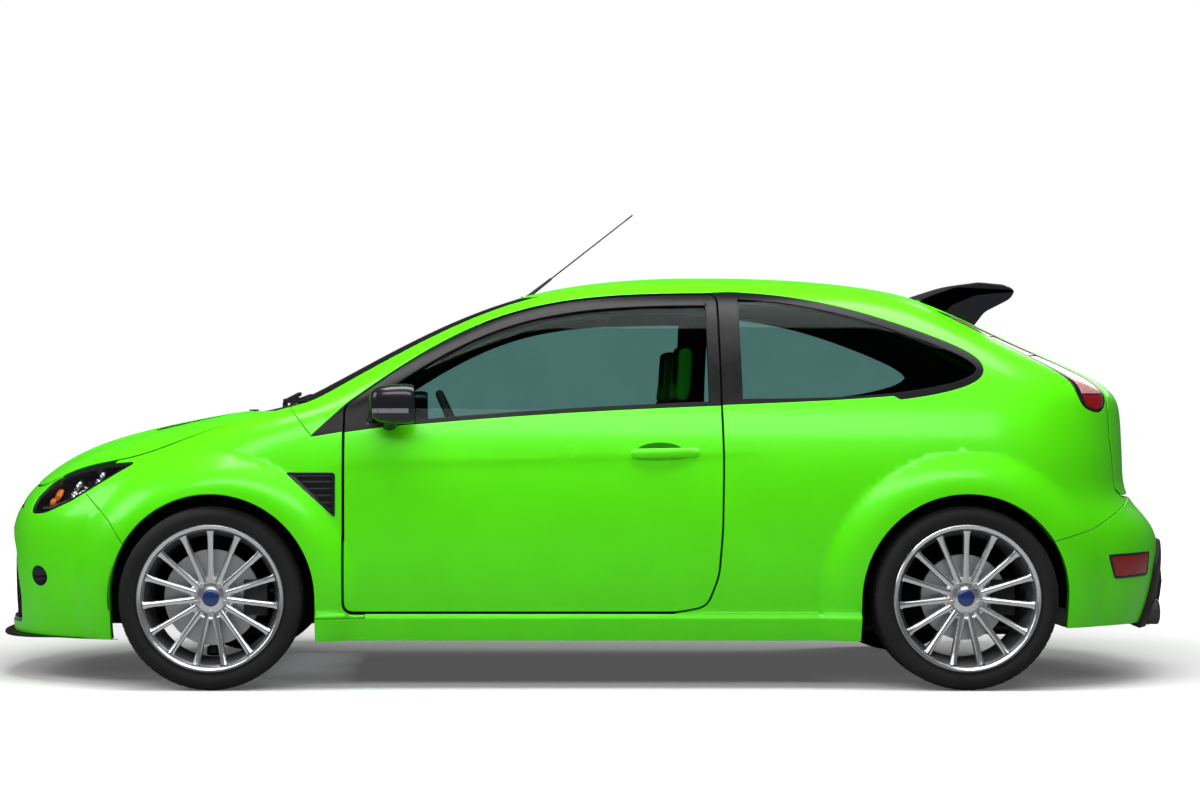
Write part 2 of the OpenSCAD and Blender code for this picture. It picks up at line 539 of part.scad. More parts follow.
// Inner shell: floor, bulkhead, load floor, rails, strut plates, wheelhouses and rear panel
rail_y = [660, 700];
plate_z = [800, 815];
floor_z = [190, 202];
load_z = [300, 312];
rear_panel = [1912, 1927];
king_low = [axle_f, 775, 130];
king_top = [axle_f, 560, plate_z[0]];
king_tilt = atan2(king_low.y - king_top.y, king_top.z - king_low.z);
module on_king() translate(king_low) rotate([king_tilt, 0, 0]) children();
rod_r = 12;
module jack_pad(x) translate([x - 30, 690, floor_z[0] - 12]) cube([60, 60, 13]);
module shell_half() {
    translate([-930, 0, floor_z[0]]) cube([1810, sill_y - 0.3, floor_z[1] - floor_z[0]]);
    translate([-915, 0, floor_z[0]]) cube([1395, 110, 90]);
    translate([868, 0, floor_z[0]]) cube([12, 612, load_z[1] - floor_z[0]]);
    translate([868, 0, load_z[0]]) cube([rear_panel[1] - 868, 612, load_z[1] - load_z[0]]);
    translate([868, 600, load_z[0]]) cube([820, 12, 420]);
    translate([868, 600, 712]) cube([770, 180, 8]);
    translate([rear_panel[0], 0, load_z[0]]) cube([rear_panel[1] - rear_panel[0], 560, 340]);
    translate([-930, 0, floor_z[0]]) cube([15, 735, 740]);
    translate([-1600, rail_y[0], 692]) cube([685, rail_y[1] - rail_y[0], 56]);
    translate([-1600, 480, 380]) cube([685, 12, 420]);
    for (x = [-1600, -1130]) translate([x, 480, 692]) cube([30, 220, 30]);
    translate([-2000, 440, 380]) cube([1075, 60, 80]);
    translate([-2030, 0, 360]) cube([30, 520, 120]);
    difference() {
        translate([axle_f - 90, 480, plate_z[0]]) cube([180, 220, plate_z[1] - plate_z[0]]);
        on_king() cylinder(r = rod_r + pin_play, h = 900);
    }
    translate([bonnet_pin.x - lug / 2, bonnet_hinge_y - lug, 740]) cube([lug, 2 * lug, bonnet_pin.y - 740]);
    translate([bonnet_pin.x, bonnet_hinge_y, bonnet_pin.y]) rotate([90, 0, 0]) pin(2 * eye_room + 24);
    jack_pad(-760);
    jack_pad(700);
}
module body_shell() color("dimgray") both_sides() shell_half();

module engine_block() color("gray") {
    translate([-1650, -330, 262.3]) cube([460, 660, 420]);
    translate([-1600, -250, 680]) cube([330, 480, 110]);
}
// Front subframe with the lower arms, and the rear axle with its hub carriers
eye_r = 24;
module lower_arm() {
    difference() {
        union() {
            on_king() cylinder(r = eye_r, h = 26, center = true);
            hull() {
                translate([axle_f, king_low.y - 18, king_low.z]) cube([36, 10, 22], center = true);
                translate([axle_f, 400, 225]) cube([90, 10, 30], center = true);
            }
        }
        on_king() cylinder(r = stud_r + pin_play, h = 60, center = true);
    }
}
stud_r = 10;
module front_subframe() color("dimgray") {
    translate([-1490, -410, 200]) cube([310, 820, 62]);
    both_sides() translate([-1250, 405, 200]) cube([60, 80, 179.7]);
    both_sides() translate([-1480, 405, 200]) cube([50, 80, 179.7]);
    both_sides() lower_arm();
}
bearing_r = 32;
carrier_y = [715, 775];
module carrier(x, disc_r) {
    difference() {
        union() {
            translate([x, carrier_y[1], hub_z]) rotate([90, 0, 0])
                cylinder(r = 56, h = carrier_y[1] - carrier_y[0]);
            translate([x + 20, 745, hub_z - 26]) cube([disc_r - 60, 30, 52]);
        }
        translate([x, 800, hub_z]) rotate([90, 0, 0]) cylinder(r = bearing_r + pin_play, h = 83);
    }
    difference() {
        translate([x + disc_r - 56, 752, hub_z - 62]) cube([82, 88, 124]);
        translate([x, 831, hub_z]) rotate([90, 0, 0]) cylinder(r = disc_r + 7, h = 37);
    }
}
module rear_axle() color("dimgray") {
    translate([axle_r - 45, -660, 232]) cube([90, 1320, 60]);
    both_sides() translate([axle_r - 45, 300, 290]) cube([90, 90, 9.7]);
    both_sides() translate([axle_r - 40, 640, 240]) cube([80, 76, 110]);
    both_sides() carrier(axle_r, rear_disc_d / 2);
}
module knuckle() color("gray") {
    carrier(axle_f, front_disc_d / 2);
    translate([axle_f - 20, 735, 158]) cube([40, 40, 130]);
    on_king() translate([0, 0, -15]) cylinder(r = stud_r, h = 60);
    on_king() translate([0, 0, 250]) cylinder(r = 25, h = 355);
    translate([axle_f - 22, 690, 362]) cube([44, 40, 60]);
    on_king() translate([0, 0, 560]) cylinder(r = rod_r, h = 180);
}

pipe_y = 440;
pipe_z = 244;
tip_d = 92;
tip_end = 2086;
module exhaust() color("silver") {
    translate([-1000, 0, 152]) rotate([0, 90, 0]) cylinder(r = 28, h = 2750);
    translate([1716, 0, 152]) cylinder(r = 22, h = 72);
    translate([1750, 480, 240]) rotate([90, 0, 0]) cylinder(r = 52, h = 960);
    for (y = [-pipe_y, pipe_y]) translate([1750, y, pipe_z]) rotate([0, 90, 0]) difference() {
        cylinder(d = tip_d, h = tip_end - 1750);
        translate([0, 0, 100]) cylinder(d = tip_d - 8, h = 400);
    }
    for (x = [-300, 600]) translate([x, -10, 170]) cube([24, 20, floor_z[0] - 170.3]);
    for (y = [-60, 60]) translate([1738, y - 10, 280]) cube([24, 20, load_z[0] - 280.3]);
}

// Cabin
wheel_at = [-470, -370, 880];
column_tilt = 25;
column_r = 14;
dash_profile = [[-914.7, 925], [-640, 925], [-575, 880], [-560, 780], [-640, 700], [-914.7, 700]];
module on_column() translate(wheel_at) rotate([0, -90 - column_tilt, 0]) children();
module dashboard() color("black") difference() {
    union() {
        across(-700, 700) polygon(dash_profile);
        translate([-640, -100, floor_z[1] + 90]) cube([380, 200, 160]);
        translate([-700, -100, floor_z[1] + 240]) cube([100, 200, 300]);
    }
    on_column() cylinder(r = column_r + pin_play, h = 260);
}
module steering_wheel() color("black") on_column() {
    rotate_extrude() translate([178, 0]) circle(r = 15, $fn = 24);
    cylinder(r = 56, h = 34, center = true);
    for (a = [0, 90, 180]) rotate([0, 0, a + 90]) translate([40, -15, -8]) cube([130, 30, 12]);
    cylinder(r = column_r, h = 250);
}
seat_y = 370;
seat_side = [[-330, 380], [-320, 450], [-60, 420], [150, 430], [215, 620], [270, 900], [300, 1080], [318, 1220],
    [385, 1225], [395, 1060], [365, 860], [320, 560], [275, 400], [200, 330], [-250, 330]];
seat_bolster = [[-320, 390], [-300, 480], [-60, 485], [90, 510], [150, 700], [205, 900], [262, 1010],
    [340, 1020], [350, 860], [305, 560], [260, 400], [200, 340], [-250, 340]];
module front_seat() color("black") {
    across(-200, 200) offset(r = 18) offset(delta = -18) polygon(seat_side);
    for (y = [-262, 199]) across(y, y + 63) offset(r = 18) offset(delta = -18) polygon(seat_bolster);
    translate([-240, -190, floor_z[1] + 0.3]) cube([430, 380, 150]);
}
rear_side = [[500, 202.5], [500, 400], [520, 440], [780, 410], [830, 430], [905, 860], [930, 890], [990, 880],
    [985, 840], [900, 400], [860, 330], [860, 202.5]];
module rear_seat() color("black") across(-570, 570) offset(r = 15) offset(delta = -15) polygon(rear_side);

// Aerial and wipers
aerial_at = [-228, 0, 1386];
aerial_d = 36;
module aerial() color("black") {
    translate(aerial_at) cylinder(d = aerial_d, h = top_z(aerial_at.x) - aerial_at.z + 8);
    translate([aerial_at.x, 0, top_z(aerial_at.x) + 2]) rotate([0, 52, 0]) {
        cylinder(r = 7, h = 130);
        cylinder(r = 3, h = 530);
    }
}
wiper_foot = [-470, 80];
wiper_d = 20;
function on_screen(y, z, out) = [skin_nose(y, z) - out, y, z + out];
module bar(a, b, d) hull() { translate(a) cube(d, center = true); translate(b) cube(d, center = true); }
module wipers() color("black") for (y = wiper_foot) {
    foot = on_screen(y, 1002, 0);
    translate([foot.x + 6, y, 960]) cylinder(d = wiper_d, h = 50);
    bar([foot.x + 6, y, 1013], on_screen(y + 260, 1026, 18), 12);
    for (k = [0:2])
        bar(on_screen(y - 130 + k * 200, 1002 + k * 5, 12), on_screen(y + 70 + k * 200, 1007 + k * 5, 12), 9);
}

// Wheels stand with the axle along Y and the outer face towards +Y
tyre_r = tyre_d / 2;
bead_r = rim_d / 2;
lip_r = bead_r + 16;
half_tread = tyre_w / 2;
bulge_r = tyre_r - 37;
tyre_outside = [[bead_r + 0.5, 103.4], [lip_r + 1, 103.4], [lip_r + 6, 113], [bulge_r, half_tread],
    [tyre_r - 14, 112], [tyre_r - 4, 97], [tyre_r, 78]];
tyre_inside = [[tyre_r - 14, 74], [tyre_r - 20, 92], [bulge_r, 104], [lip_r + 6, 97], [bead_r + 0.5, 90]];
rim_outside = [[lip_r, 114], [lip_r, 106], [bead_r, 104], [bead_r, 70], [bead_r - 10, 40]];
rim_inside = [[bead_r - 20, 40], [bead_r - 13, 70], [bead_r - 9, 98], [lip_r - 12, 114]];
spoke_profile = [[56, 56], [150, 62], [bead_r - 10, 78], [bead_r - 8, 101], [150, 86], [100, 80], [56, 80]];
function flip(c) = [for (k = [len(c) - 1:-1:0]) [c[k].x, -c[k].y]];
module about_axle() rotate([-90, 0, 0]) rotate_extrude($fn = 96) children();
module tyre() color([0.07, 0.07, 0.07]) about_axle()
    polygon([each tyre_outside, each flip(tyre_outside), each flip(tyre_inside), each tyre_inside]);
nut_ring = 54;
spoke_w = 13;
module alloy_wheel() color("silver") {
    about_axle() polygon([each rim_outside, each flip(rim_outside), [lip_r - 12, -114], [bead_r - 9, -98],
        [bead_r - 20, -60], each rim_inside]);
    difference() {
        rotate([-90, 0, 0]) translate([0, 0, 50.3]) cylinder(r = 78, h = 28);
        for (k = [0:4]) rotate([0, k * 72 + 36, 0]) translate([nut_ring, 70, 0]) rotate([-90, 0, 0])
            cylinder(r = 13, h = 20);
    }
    for (k = [0:spokes - 1]) rotate([0, k * 360 / spokes, 0]) translate([0, 0, -spoke_w / 2])
        linear_extrude(height = spoke_w) polygon(spoke_profile);
    rotate([-90, 0, 0]) translate([0, 0, 70]) cylinder(r = 31, h = 16);
}
module brake_disc(r) color("gray") rotate([-90, 0, 0]) {
    translate([0, 0, 7]) cylinder(r = r, h = 25);
    translate([0, 0, 7]) cylinder(r = 84, h = 43);
    translate([0, 0, -74]) cylinder(r = bearing_r, h = 84);
}
module front_place() translate([axle_f, hub_y, hub_z]) children();
module rear_place() translate([axle_r, hub_y, hub_z]) children();

module left() mirror([0, 1, 0]) children();
body_shell();
left() body_side();  // body_side_left
body_side();  // body_side_right
roof_panel();
windscreen();
cowl_panel();
left() front_wing();  // front_wing_left
front_wing();  // front_wing_right
front_bumper();
front_grille();
both_sides() headlamp();  // headlamps
rear_bumper();
rear_diffuser();
both_sides() tail_lamp();  // tail_lamps
both_sides() quarter_glass();  // quarter_glasses
engine_block();
dashboard();
both_sides() translate([0, seat_y, 0]) front_seat();  // front_seats
rear_seat();
front_subframe();
rear_axle();
exhaust();
aerial();
wipers();
bonnet();
left() door();  // door_left
door();  // door_right
left() door_glass();  // door_glass_left
door_glass();  // door_glass_right
left() mirror_housing();  // mirror_left
mirror_housing();  // mirror_right
tailgate();
tailgate_glass();
rear_spoiler();
steering_wheel();
left() knuckle();  // knuckle_left
knuckle();  // knuckle_right
left() front_place() tyre();  // tyre_front_left
front_place() tyre();  // tyre_front_right
left() rear_place() tyre();  // tyre_rear_left
rear_place() tyre();  // tyre_rear_right
left() front_place() alloy_wheel();  // wheel_front_left
front_place() alloy_wheel();  // wheel_front_right
left() rear_place() alloy_wheel();  // wheel_rear_left
rear_place() alloy_wheel();  // wheel_rear_right
left() front_place() brake_disc(front_disc_d / 2);  // disc_front_left
front_place() brake_disc(front_disc_d / 2);  // disc_front_right
left() rear_place() brake_disc(rear_disc_d / 2);  // disc_rear_left
rear_place() brake_disc(rear_disc_d / 2);  // disc_rear_right
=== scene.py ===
"""Looks of a three-door hot hatchback: panels, glass, lamps, wheels, cabin, paint, light and camera."""

import json
import logging
import math
from dataclasses import dataclass, field
from enum import Enum
from typing import Callable, Sequence

import bpy
import numpy as np
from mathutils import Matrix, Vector
from mathutils.geometry import delaunay_2d_cdt

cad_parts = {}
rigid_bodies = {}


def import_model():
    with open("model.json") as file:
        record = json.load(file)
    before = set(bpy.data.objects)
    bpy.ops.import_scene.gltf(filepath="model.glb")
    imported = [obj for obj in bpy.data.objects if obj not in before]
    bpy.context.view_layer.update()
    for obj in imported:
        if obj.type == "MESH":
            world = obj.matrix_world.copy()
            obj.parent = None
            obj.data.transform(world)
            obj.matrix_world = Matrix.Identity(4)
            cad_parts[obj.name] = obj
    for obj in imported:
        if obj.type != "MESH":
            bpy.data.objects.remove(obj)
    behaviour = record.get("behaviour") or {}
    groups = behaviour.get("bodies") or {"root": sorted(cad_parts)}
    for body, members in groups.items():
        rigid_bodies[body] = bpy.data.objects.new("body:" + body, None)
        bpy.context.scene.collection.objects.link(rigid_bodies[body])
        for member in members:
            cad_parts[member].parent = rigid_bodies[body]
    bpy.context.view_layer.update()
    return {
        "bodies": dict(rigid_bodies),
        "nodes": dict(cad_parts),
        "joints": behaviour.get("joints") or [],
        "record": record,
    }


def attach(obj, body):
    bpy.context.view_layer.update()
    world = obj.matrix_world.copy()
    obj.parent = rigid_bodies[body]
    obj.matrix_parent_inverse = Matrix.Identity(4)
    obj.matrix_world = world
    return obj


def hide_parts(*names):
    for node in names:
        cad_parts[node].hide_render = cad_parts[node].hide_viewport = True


LOG = logging.getLogger("hatchback")
MM = 0.001
Array = np.ndarray
Loop = Array
Test = Callable[[Array], Array]
Solid = tuple[Array, list[list[int]]]
Points = tuple[tuple[float, float], ...]
TINY = 1e-9
FINE_STEP = 10.0
NOISE_SPAN = (0.3, 0.7)
BUMP_DEPTH = 0.0006
GLASS_IOR = 1.16
BOX_FACES = [[0, 1, 3, 2], [4, 6, 7, 5], [0, 4, 5, 1], [2, 3, 7, 6], [0, 2, 6, 4], [1, 5, 7, 3]]


class Side(Enum):
    """Which side of the car a piece is on, as the sign of its Y."""

    LEFT = -1
    RIGHT = 1


class Chart(Enum):
    """How a flat outline lies on the skin: the two coordinates that it is drawn in."""

    SIDE = "x and z"
    NOSE = "y and z, seen from the front"
    TAIL = "y and z, seen from the rear"
    TOP = "x and y"


def glide(controls: Array, u: Array) -> Array:
    """Smooth cubic curve that glides past evenly spaced control values.

    Args:
        controls: Control values, or points, one per row.
        u: Places along the curve, counted in control values.

    Returns:
        The curve's values, or points, at those places.
    """
    u = np.asarray(u, float)
    first = 2 * controls[:1] - controls[1:2]
    last = 2 * controls[-1:] - controls[-2:-1]
    padded = np.concatenate([first, controls, last, last])
    i = np.clip(np.floor(u), 0, len(controls) - 2).astype(int)
    t = u - i
    if controls.ndim > 1:
        t = t[..., None]
    return (
        (1 - t) ** 3 * padded[i]
        + (3 * t**3 - 6 * t**2 + 4) * padded[i + 1]
        + (3 * t + 3 * t**2 - 3 * t**3 + 1) * padded[i + 2]
        + t**3 * padded[i + 3]
    ) / 6


def round_in(t: Array, power: Array) -> Array:
    """Superellipse: 1 at t = 0, falling to 0 at t = 1."""
    t = np.clip(t, 0, 1)
    return (1 - t**power) ** (1 / power)


@dataclass
class Skin:
    """Outer surface of the body, in millimetres, as the construction model draws it.

    The surface is a stack of level outlines, each a rounded nose, a straight side and a rounded tail.
    """

    axle_front: float = -1335.0
    axle_rear: float = 1305.0
    hub_z: float = 322.0
    roof_height: float = 1476.0
    crown_start: float = 1250.0
    front_flare: float = 45.0
    rear_flare: float = 31.0
    flare_in: float = 385.0
    flare_out: float = 508.0
    skirt_top: float = 266.0
    skirt_out: float = 20.0
    skirt_blend: float = 12.0
    crease_depth: float = 5.0
    crease_fade: tuple[float, ...] = (-960, -780, 380, 640)
    crease_steep: float = 22.0
    crease_reach: float = 190.0
    level_step: float = 100.0
    samples: int = 8000
    nose_upper: int = 1500
    tail_upper: int = 3000
    roof_x: float = 441.0
    top_low: float = 640.0
    halvings: int = 30
    nose_line: Array = field(
        default_factory=lambda: np.array(
            [
                (-2150, 130), (-2158, 200), (-2163, 290), (-2164, 390), (-2163, 480), (-2152, 570),
                (-2118, 650), (-2052, 728), (-1955, 795), (-1840, 846), (-1700, 890), (-1540, 926),
                (-1370, 957), (-1200, 986), (-1080, 1012), (-985, 1058), (-860, 1125), (-720, 1202),
                (-570, 1278), (-420, 1344), (-250, 1403), (-60, 1444), (170, 1468), (441, 1476),
            ],
            float,
        )
    )
    tail_line: Array = field(
        default_factory=lambda: np.array(
            [
                (2080, 130), (2112, 220), (2130, 310), (2140, 400), (2142, 470), (2130, 535),
                (2092, 590), (2040, 640), (2006, 695), (1999, 770), (1997, 845), (1994, 915),
                (1986, 985), (1962, 1035), (1905, 1078), (1820, 1118), (1700, 1168), (1570, 1226),
                (1430, 1296), (1310, 1354), (1190, 1406), (1000, 1441), (760, 1466), (441, 1476),
            ],
            float,
        )
    )
    half_widths: Array = field(
        default_factory=lambda: np.array(
            [770, 822, 856, 874, 883, 888, 889, 884, 867, 836, 794, 745, 688, 632, 560], float
        )
    )
    nose_starts: Array = field(
        default_factory=lambda: np.array([-1000.0] * 9 + [-800.0, -490.0, -290.0, -90.0, 190.0, 470.0])
    )
    tail_starts: Array = field(
        default_factory=lambda: np.array(
            [1400, 1400, 1400, 1420, 1420, 1420, 1400, 1390, 1380, 1360, 1270, 1080, 930, 740, 330], float
        )
    )
    nose_powers: Array = field(
        default_factory=lambda: np.array([2.7] * 6 + [2.5, 2.3, 2.2, 3.2] + [4.4] * 5)
    )
    tail_powers: Array = field(
        default_factory=lambda: np.array([2.5] * 7 + [2.6, 2.6, 2.8, 3.6] + [4.0] * 4)
    )
    crease_line: Array = field(
        default_factory=lambda: np.array([(-1000, 776), (-866, 787), (446, 824), (760, 834)], float)
    )

    def __post_init__(self) -> None:
        """Samples the centreline once, for looking up."""
        places = np.linspace(0, len(self.nose_line) - 1, self.samples)
        self._nose = glide(self.nose_line, places)
        self._tail = glide(self.tail_line, places)

    def by_height(self, table: Array, z: Array) -> Array:
        """Value of a table given at each level, from the first level up."""
        return glide(table, (np.asarray(z, float) - self.level_step) / self.level_step)

    def nose_x(self, z: Array) -> Array:
        """Centreline of the nose at a height."""
        return np.interp(z, self._nose[:, 1], self._nose[:, 0])

    def tail_x(self, z: Array) -> Array:
        """Centreline of the tail at a height."""
        return np.interp(z, self._tail[:, 1], self._tail[:, 0])

    def half_width(self, z: Array) -> Array:
        """Half width of the level outline at a height."""
        t = np.clip((np.asarray(z, float) - self.crown_start) / (self.roof_height - self.crown_start), 0, 1)
        return self.by_height(self.half_widths, z) * (1 - t**4) ** 0.25

    def flare(self, x: Array, z: Array) -> Array:
        """How far the wheel flares and the sill skirt stand out of the level outline.

        Args:
            x: Places along the car.
            z: Heights.

        Returns:
            The distance at each point.
        """
        out = np.zeros(np.broadcast(x, z).shape)
        for axle, spring in ((self.axle_front, self.front_flare), (self.axle_rear, self.rear_flare)):
            r = np.hypot(x - axle, z - self.hub_z)
            t = np.clip((r - self.flare_in) / (self.flare_out - self.flare_in), 0, 1)
            out = out + spring * np.cos(0.5 * np.pi * t)
        between = (x > self.axle_front) & (x < self.axle_rear)
        rise = np.clip((self.skirt_top - z) / self.skirt_blend, 0, 1)
        out = out + np.where(between, self.skirt_out * rise, 0)
        return out - self.crease(x, z)

    def crease(self, x: Array, z: Array) -> Array:
        """How far the side is dished under the shoulder line, fading out towards both ends.

        Args:
            x: Places along the car.
            z: Heights.

        Returns:
            The depth at each point.
        """
        below = np.maximum(0, np.interp(x, self.crease_line[:, 0], self.crease_line[:, 1]) - z)
        ends = np.interp(x, self.crease_fade, [0, 1, 1, 0])
        dish = (1 - np.exp(-below / self.crease_steep)) * np.exp(-below / self.crease_reach)
        return self.crease_depth * ends * dish

    def side_y(self, x: Array, z: Array) -> Array:
        """Half width of the body at a point of the side view.

        Args:
            x: Places along the car.
            z: Heights.

        Returns:
            The half width at each point.
        """
        x, z = np.broadcast_arrays(np.asarray(x, float), np.asarray(z, float))
        a = self.by_height(self.nose_starts, z)
        b = self.by_height(self.tail_starts, z)
        ahead = (a - x) / np.maximum(1, a - self.nose_x(z))
        behind = (x - b) / np.maximum(1, self.tail_x(z) - b)
        share = np.where(
            x < a,
            round_in(ahead, self.by_height(self.nose_powers, z)),
            round_in(behind, self.by_height(self.tail_powers, z)),
        )
        return self.half_width(z) * share + self.flare(x, z)

    def nose_at(self, y: Array, z: Array) -> Array:
        """X of the nose at a point of the front view.

        Args:
            y: Places across the car.
            z: Heights.

        Returns:
            X at each point.
        """
        a = self.by_height(self.nose_starts, z)
        share = np.abs(y) / np.maximum(1, self.half_width(z))
        return a - (a - self.nose_x(z)) * round_in(share, self.by_height(self.nose_powers, z))

    def tail_at(self, y: Array, z: Array) -> Array:
        """X of the tail at a point of the rear view.

        Args:
            y: Places across the car.
            z: Heights.

        Returns:
            X at each point.
        """
        b = self.by_height(self.tail_starts, z)
        share = np.abs(y) / np.maximum(1, self.half_width(z))
        return b + (self.tail_x(z) - b) * round_in(share, self.by_height(self.tail_powers, z))

    def top_z(self, x: Array, y: Array) -> Array:
        """Height of the upper surface at a point of the plan, found by halving.

        Args:
            x: Places along the car.
            y: Places across the car.

        Returns:
            The height at each point.
        """
        x, y = np.broadcast_arrays(np.asarray(x, float), np.abs(np.asarray(y, float)))
        nose, tail = self._nose[self.nose_upper :], self._tail[self.tail_upper :]
        rear = np.interp(-x, -tail[:, 0], tail[:, 1])
        crest = np.where(x < self.roof_x, np.interp(x, nose[:, 0], nose[:, 1]), rear)
        low = np.full(x.shape, self.top_low)
        high = crest.copy()
        for _ in range(self.halvings):
            mid = (low + high) / 2
            inside = self.side_y(x, mid) > y
            low = np.where(inside, mid, low)
            high = np.where(inside, high, mid)
        return np.where(y < 1, crest, (low + high) / 2)

    def place(self, chart: Chart, flat: Array, side: int = 1) -> Array:
        """Points of the skin under points of a chart.

        Args:
            chart: The chart that the points are drawn in.
            flat: Points, two numbers a row.
            side: Sign of Y for a side chart.

        Returns:
            Points on the skin, three numbers a row.
        """
        p, q = flat[:, 0], flat[:, 1]
        if chart is Chart.SIDE:
            return columns(p, side * self.side_y(p, q), q)
        if chart in (Chart.NOSE, Chart.TAIL):
            x = self.nose_at(p, q) if chart is Chart.NOSE else self.tail_at(p, q)
            return columns(x, p + np.sign(p) * self.flare(x, q), q)
        return columns(p, q, self.top_z(p, q))

    def normals(self, chart: Chart, flat: Array, side: int = 1, step: float = 1.5) -> Array:
        """Unit normals of the skin, pointing out, under points of a chart.

        Args:
            chart: The chart.
            flat: Points of the chart, two numbers a row.
            side: Sign of Y for a side chart.
            step: Distance over which slopes are taken.

        Returns:
            Unit normals, three numbers a row.
        """
        across = np.array([step, 0.0])
        up = np.array([0.0, step])
        du = self.place(chart, flat + across, side) - self.place(chart, flat - across, side)
        dv = self.place(chart, flat + up, side) - self.place(chart, flat - up, side)
        n = np.cross(du, dv)
        outward = {Chart.SIDE: (1, side), Chart.NOSE: (0, -1), Chart.TAIL: (0, 1), Chart.TOP: (2, 1)}[chart]
        n *= np.where(n[:, outward[0]] * outward[1] < 0, -1, 1)[:, None]
        return unit(n)


def dense(loop: Sequence[Sequence[float]], step: float) -> Loop:
    """Closed outline with extra points, so that no edge is longer than a step.

    Args:
        loop: The outline.
        step: Longest edge.

    Returns:
        The outline, one point a row.
    """
    points = np.asarray(loop, float)
    out = []
    for a, b in zip(points, np.roll(points, -1, 0)):
        count = max(1, math.ceil(np.linalg.norm(b - a) / step))
        out.append(a + (b - a) * np.arange(count)[:, None] / count)
    return np.concatenate(out)


def rounded(loop: Sequence[Sequence[float]], radius: float, parts: int = 6) -> Loop:
    """Closed outline with its corners rounded off to about a radius.

    Args:
        loop: The outline.
        radius: Radius of the corners.
        parts: Points on each corner.

    Returns:
        The outline, one point a row.
    """
    points = np.asarray(loop, float)
    out = []
    for before, here, after in zip(np.roll(points, 1, 0), points, np.roll(points, -1, 0)):
        to_before, to_after = before - here, after - here
        reach = min(radius, 0.48 * np.linalg.norm(to_before), 0.48 * np.linalg.norm(to_after))
        start = here + to_before / np.linalg.norm(to_before) * reach
        end = here + to_after / np.linalg.norm(to_after) * reach
        t = np.linspace(0, 1, parts)[:, None]
        out.append((1 - t) ** 2 * start + 2 * t * (1 - t) * here + t**2 * end)
    return np.concatenate(out)


def area(loop: Loop) -> float:
    """Signed area of a closed outline."""
    following = np.roll(loop, -1, 0)
    return 0.5 * float(np.sum(loop[:, 0] * following[:, 1] - following[:, 0] * loop[:, 1]))


def grown(loop: Loop, by: float) -> Loop:
    """Closed outline moved outwards by a distance, or inwards where the distance is negative.

    Args:
        loop: The outline.
        by: The distance.

    Returns:
        The outline, one point a row.
    """
    ahead = np.roll(loop, -1, 0) - loop
    back = loop - np.roll(loop, 1, 0)
    normals = []
    for d in (ahead, back):
        d = unit(d)
        normals.append(columns(d[:, 1], -d[:, 0]))
    both = normals[0] + normals[1]
    size = np.maximum(0.35, np.sum(both * normals[0], axis=1))
    sign = 1 if area(loop) > 0 else -1
    return loop + sign * by * both / size[:, None]


def mirrored(half: Sequence[Sequence[float]], axis: int = 0) -> Loop:
    """Whole outline from the half of it on one side of a mirror line.

    Args:
        half: Half of the outline.
        axis: Which coordinate changes its sign.

    Returns:
        The outline, one point a row.
    """
    half_loop = np.asarray(half, float)
    other = half_loop[::-1].copy()
    other[:, axis] *= -1
    return np.concatenate([half_loop, other[1:-1]])


def within(points: Array, loop: Loop) -> Array:
    """Which points lie inside a closed outline.

    Args:
        points: Points, two numbers a row.
        loop: The outline.

    Returns:
        True for each point inside.
    """
    x, y = points[:, 0], points[:, 1]
    result = np.zeros(len(points), bool)
    for (x0, y0), (x1, y1) in zip(loop, np.roll(loop, -1, 0)):
        crosses = (y0 > y) != (y1 > y)
        if y1 != y0:
            result ^= crosses & (x < (x1 - x0) * (y - y0) / (y1 - y0) + x0)
    return result


def full_turn(count: int) -> Array:
    """Angles evenly spaced over a full turn."""
    return np.linspace(0, 2 * math.pi, count, endpoint=False)


def columns(*values: Array | float) -> Array:
    """Points, one a row, from their coordinates."""
    return np.stack(np.broadcast_arrays(*values), 1)


def unit(rows: Array) -> Array:
    """Rows scaled to a length of one."""
    return rows / np.maximum(TINY, np.linalg.norm(rows, axis=1))[:, None]


def bulged(wave: Array, power: float) -> Array:
    """A sine or cosine raised to a power, with its sign kept."""
    return np.sign(wave) * np.abs(wave) ** power


def closed_at(line: Loop, level: float) -> Loop:
    """Outline between a line and a level."""
    return np.concatenate([line, [(line[-1, 0], level), (line[0, 0], level)]])


def around(loop: Loop, by: float) -> Loop:
    """Outline with close points, moved outwards by a distance."""
    return grown(dense(loop, FINE_STEP), by)


def region(*inside: Loop, without: Sequence[Loop] = ()) -> Test:
    """Test for the points that lie inside all of some outlines and outside others.

    Args:
        inside: Outlines that the points lie inside of.
        without: Outlines that they lie outside of.

    Returns:
        The test.
    """

    def keep(p: Array) -> Array:
        """Which points belong to the piece.

        Args:
            p: Points of the chart.

        Returns:
            True for each of them.
        """
        ok = np.ones(len(p), bool)
        for loop in inside:
            ok &= within(p, loop)
        for loop in without:
            ok &= ~within(p, loop)
        return ok

    return keep


def circle(x: float, y: float, r: float, count: int = 96) -> Loop:
    """Closed round outline."""
    t = full_turn(count)
    return columns(x + r * np.cos(t), y + r * np.sin(t))


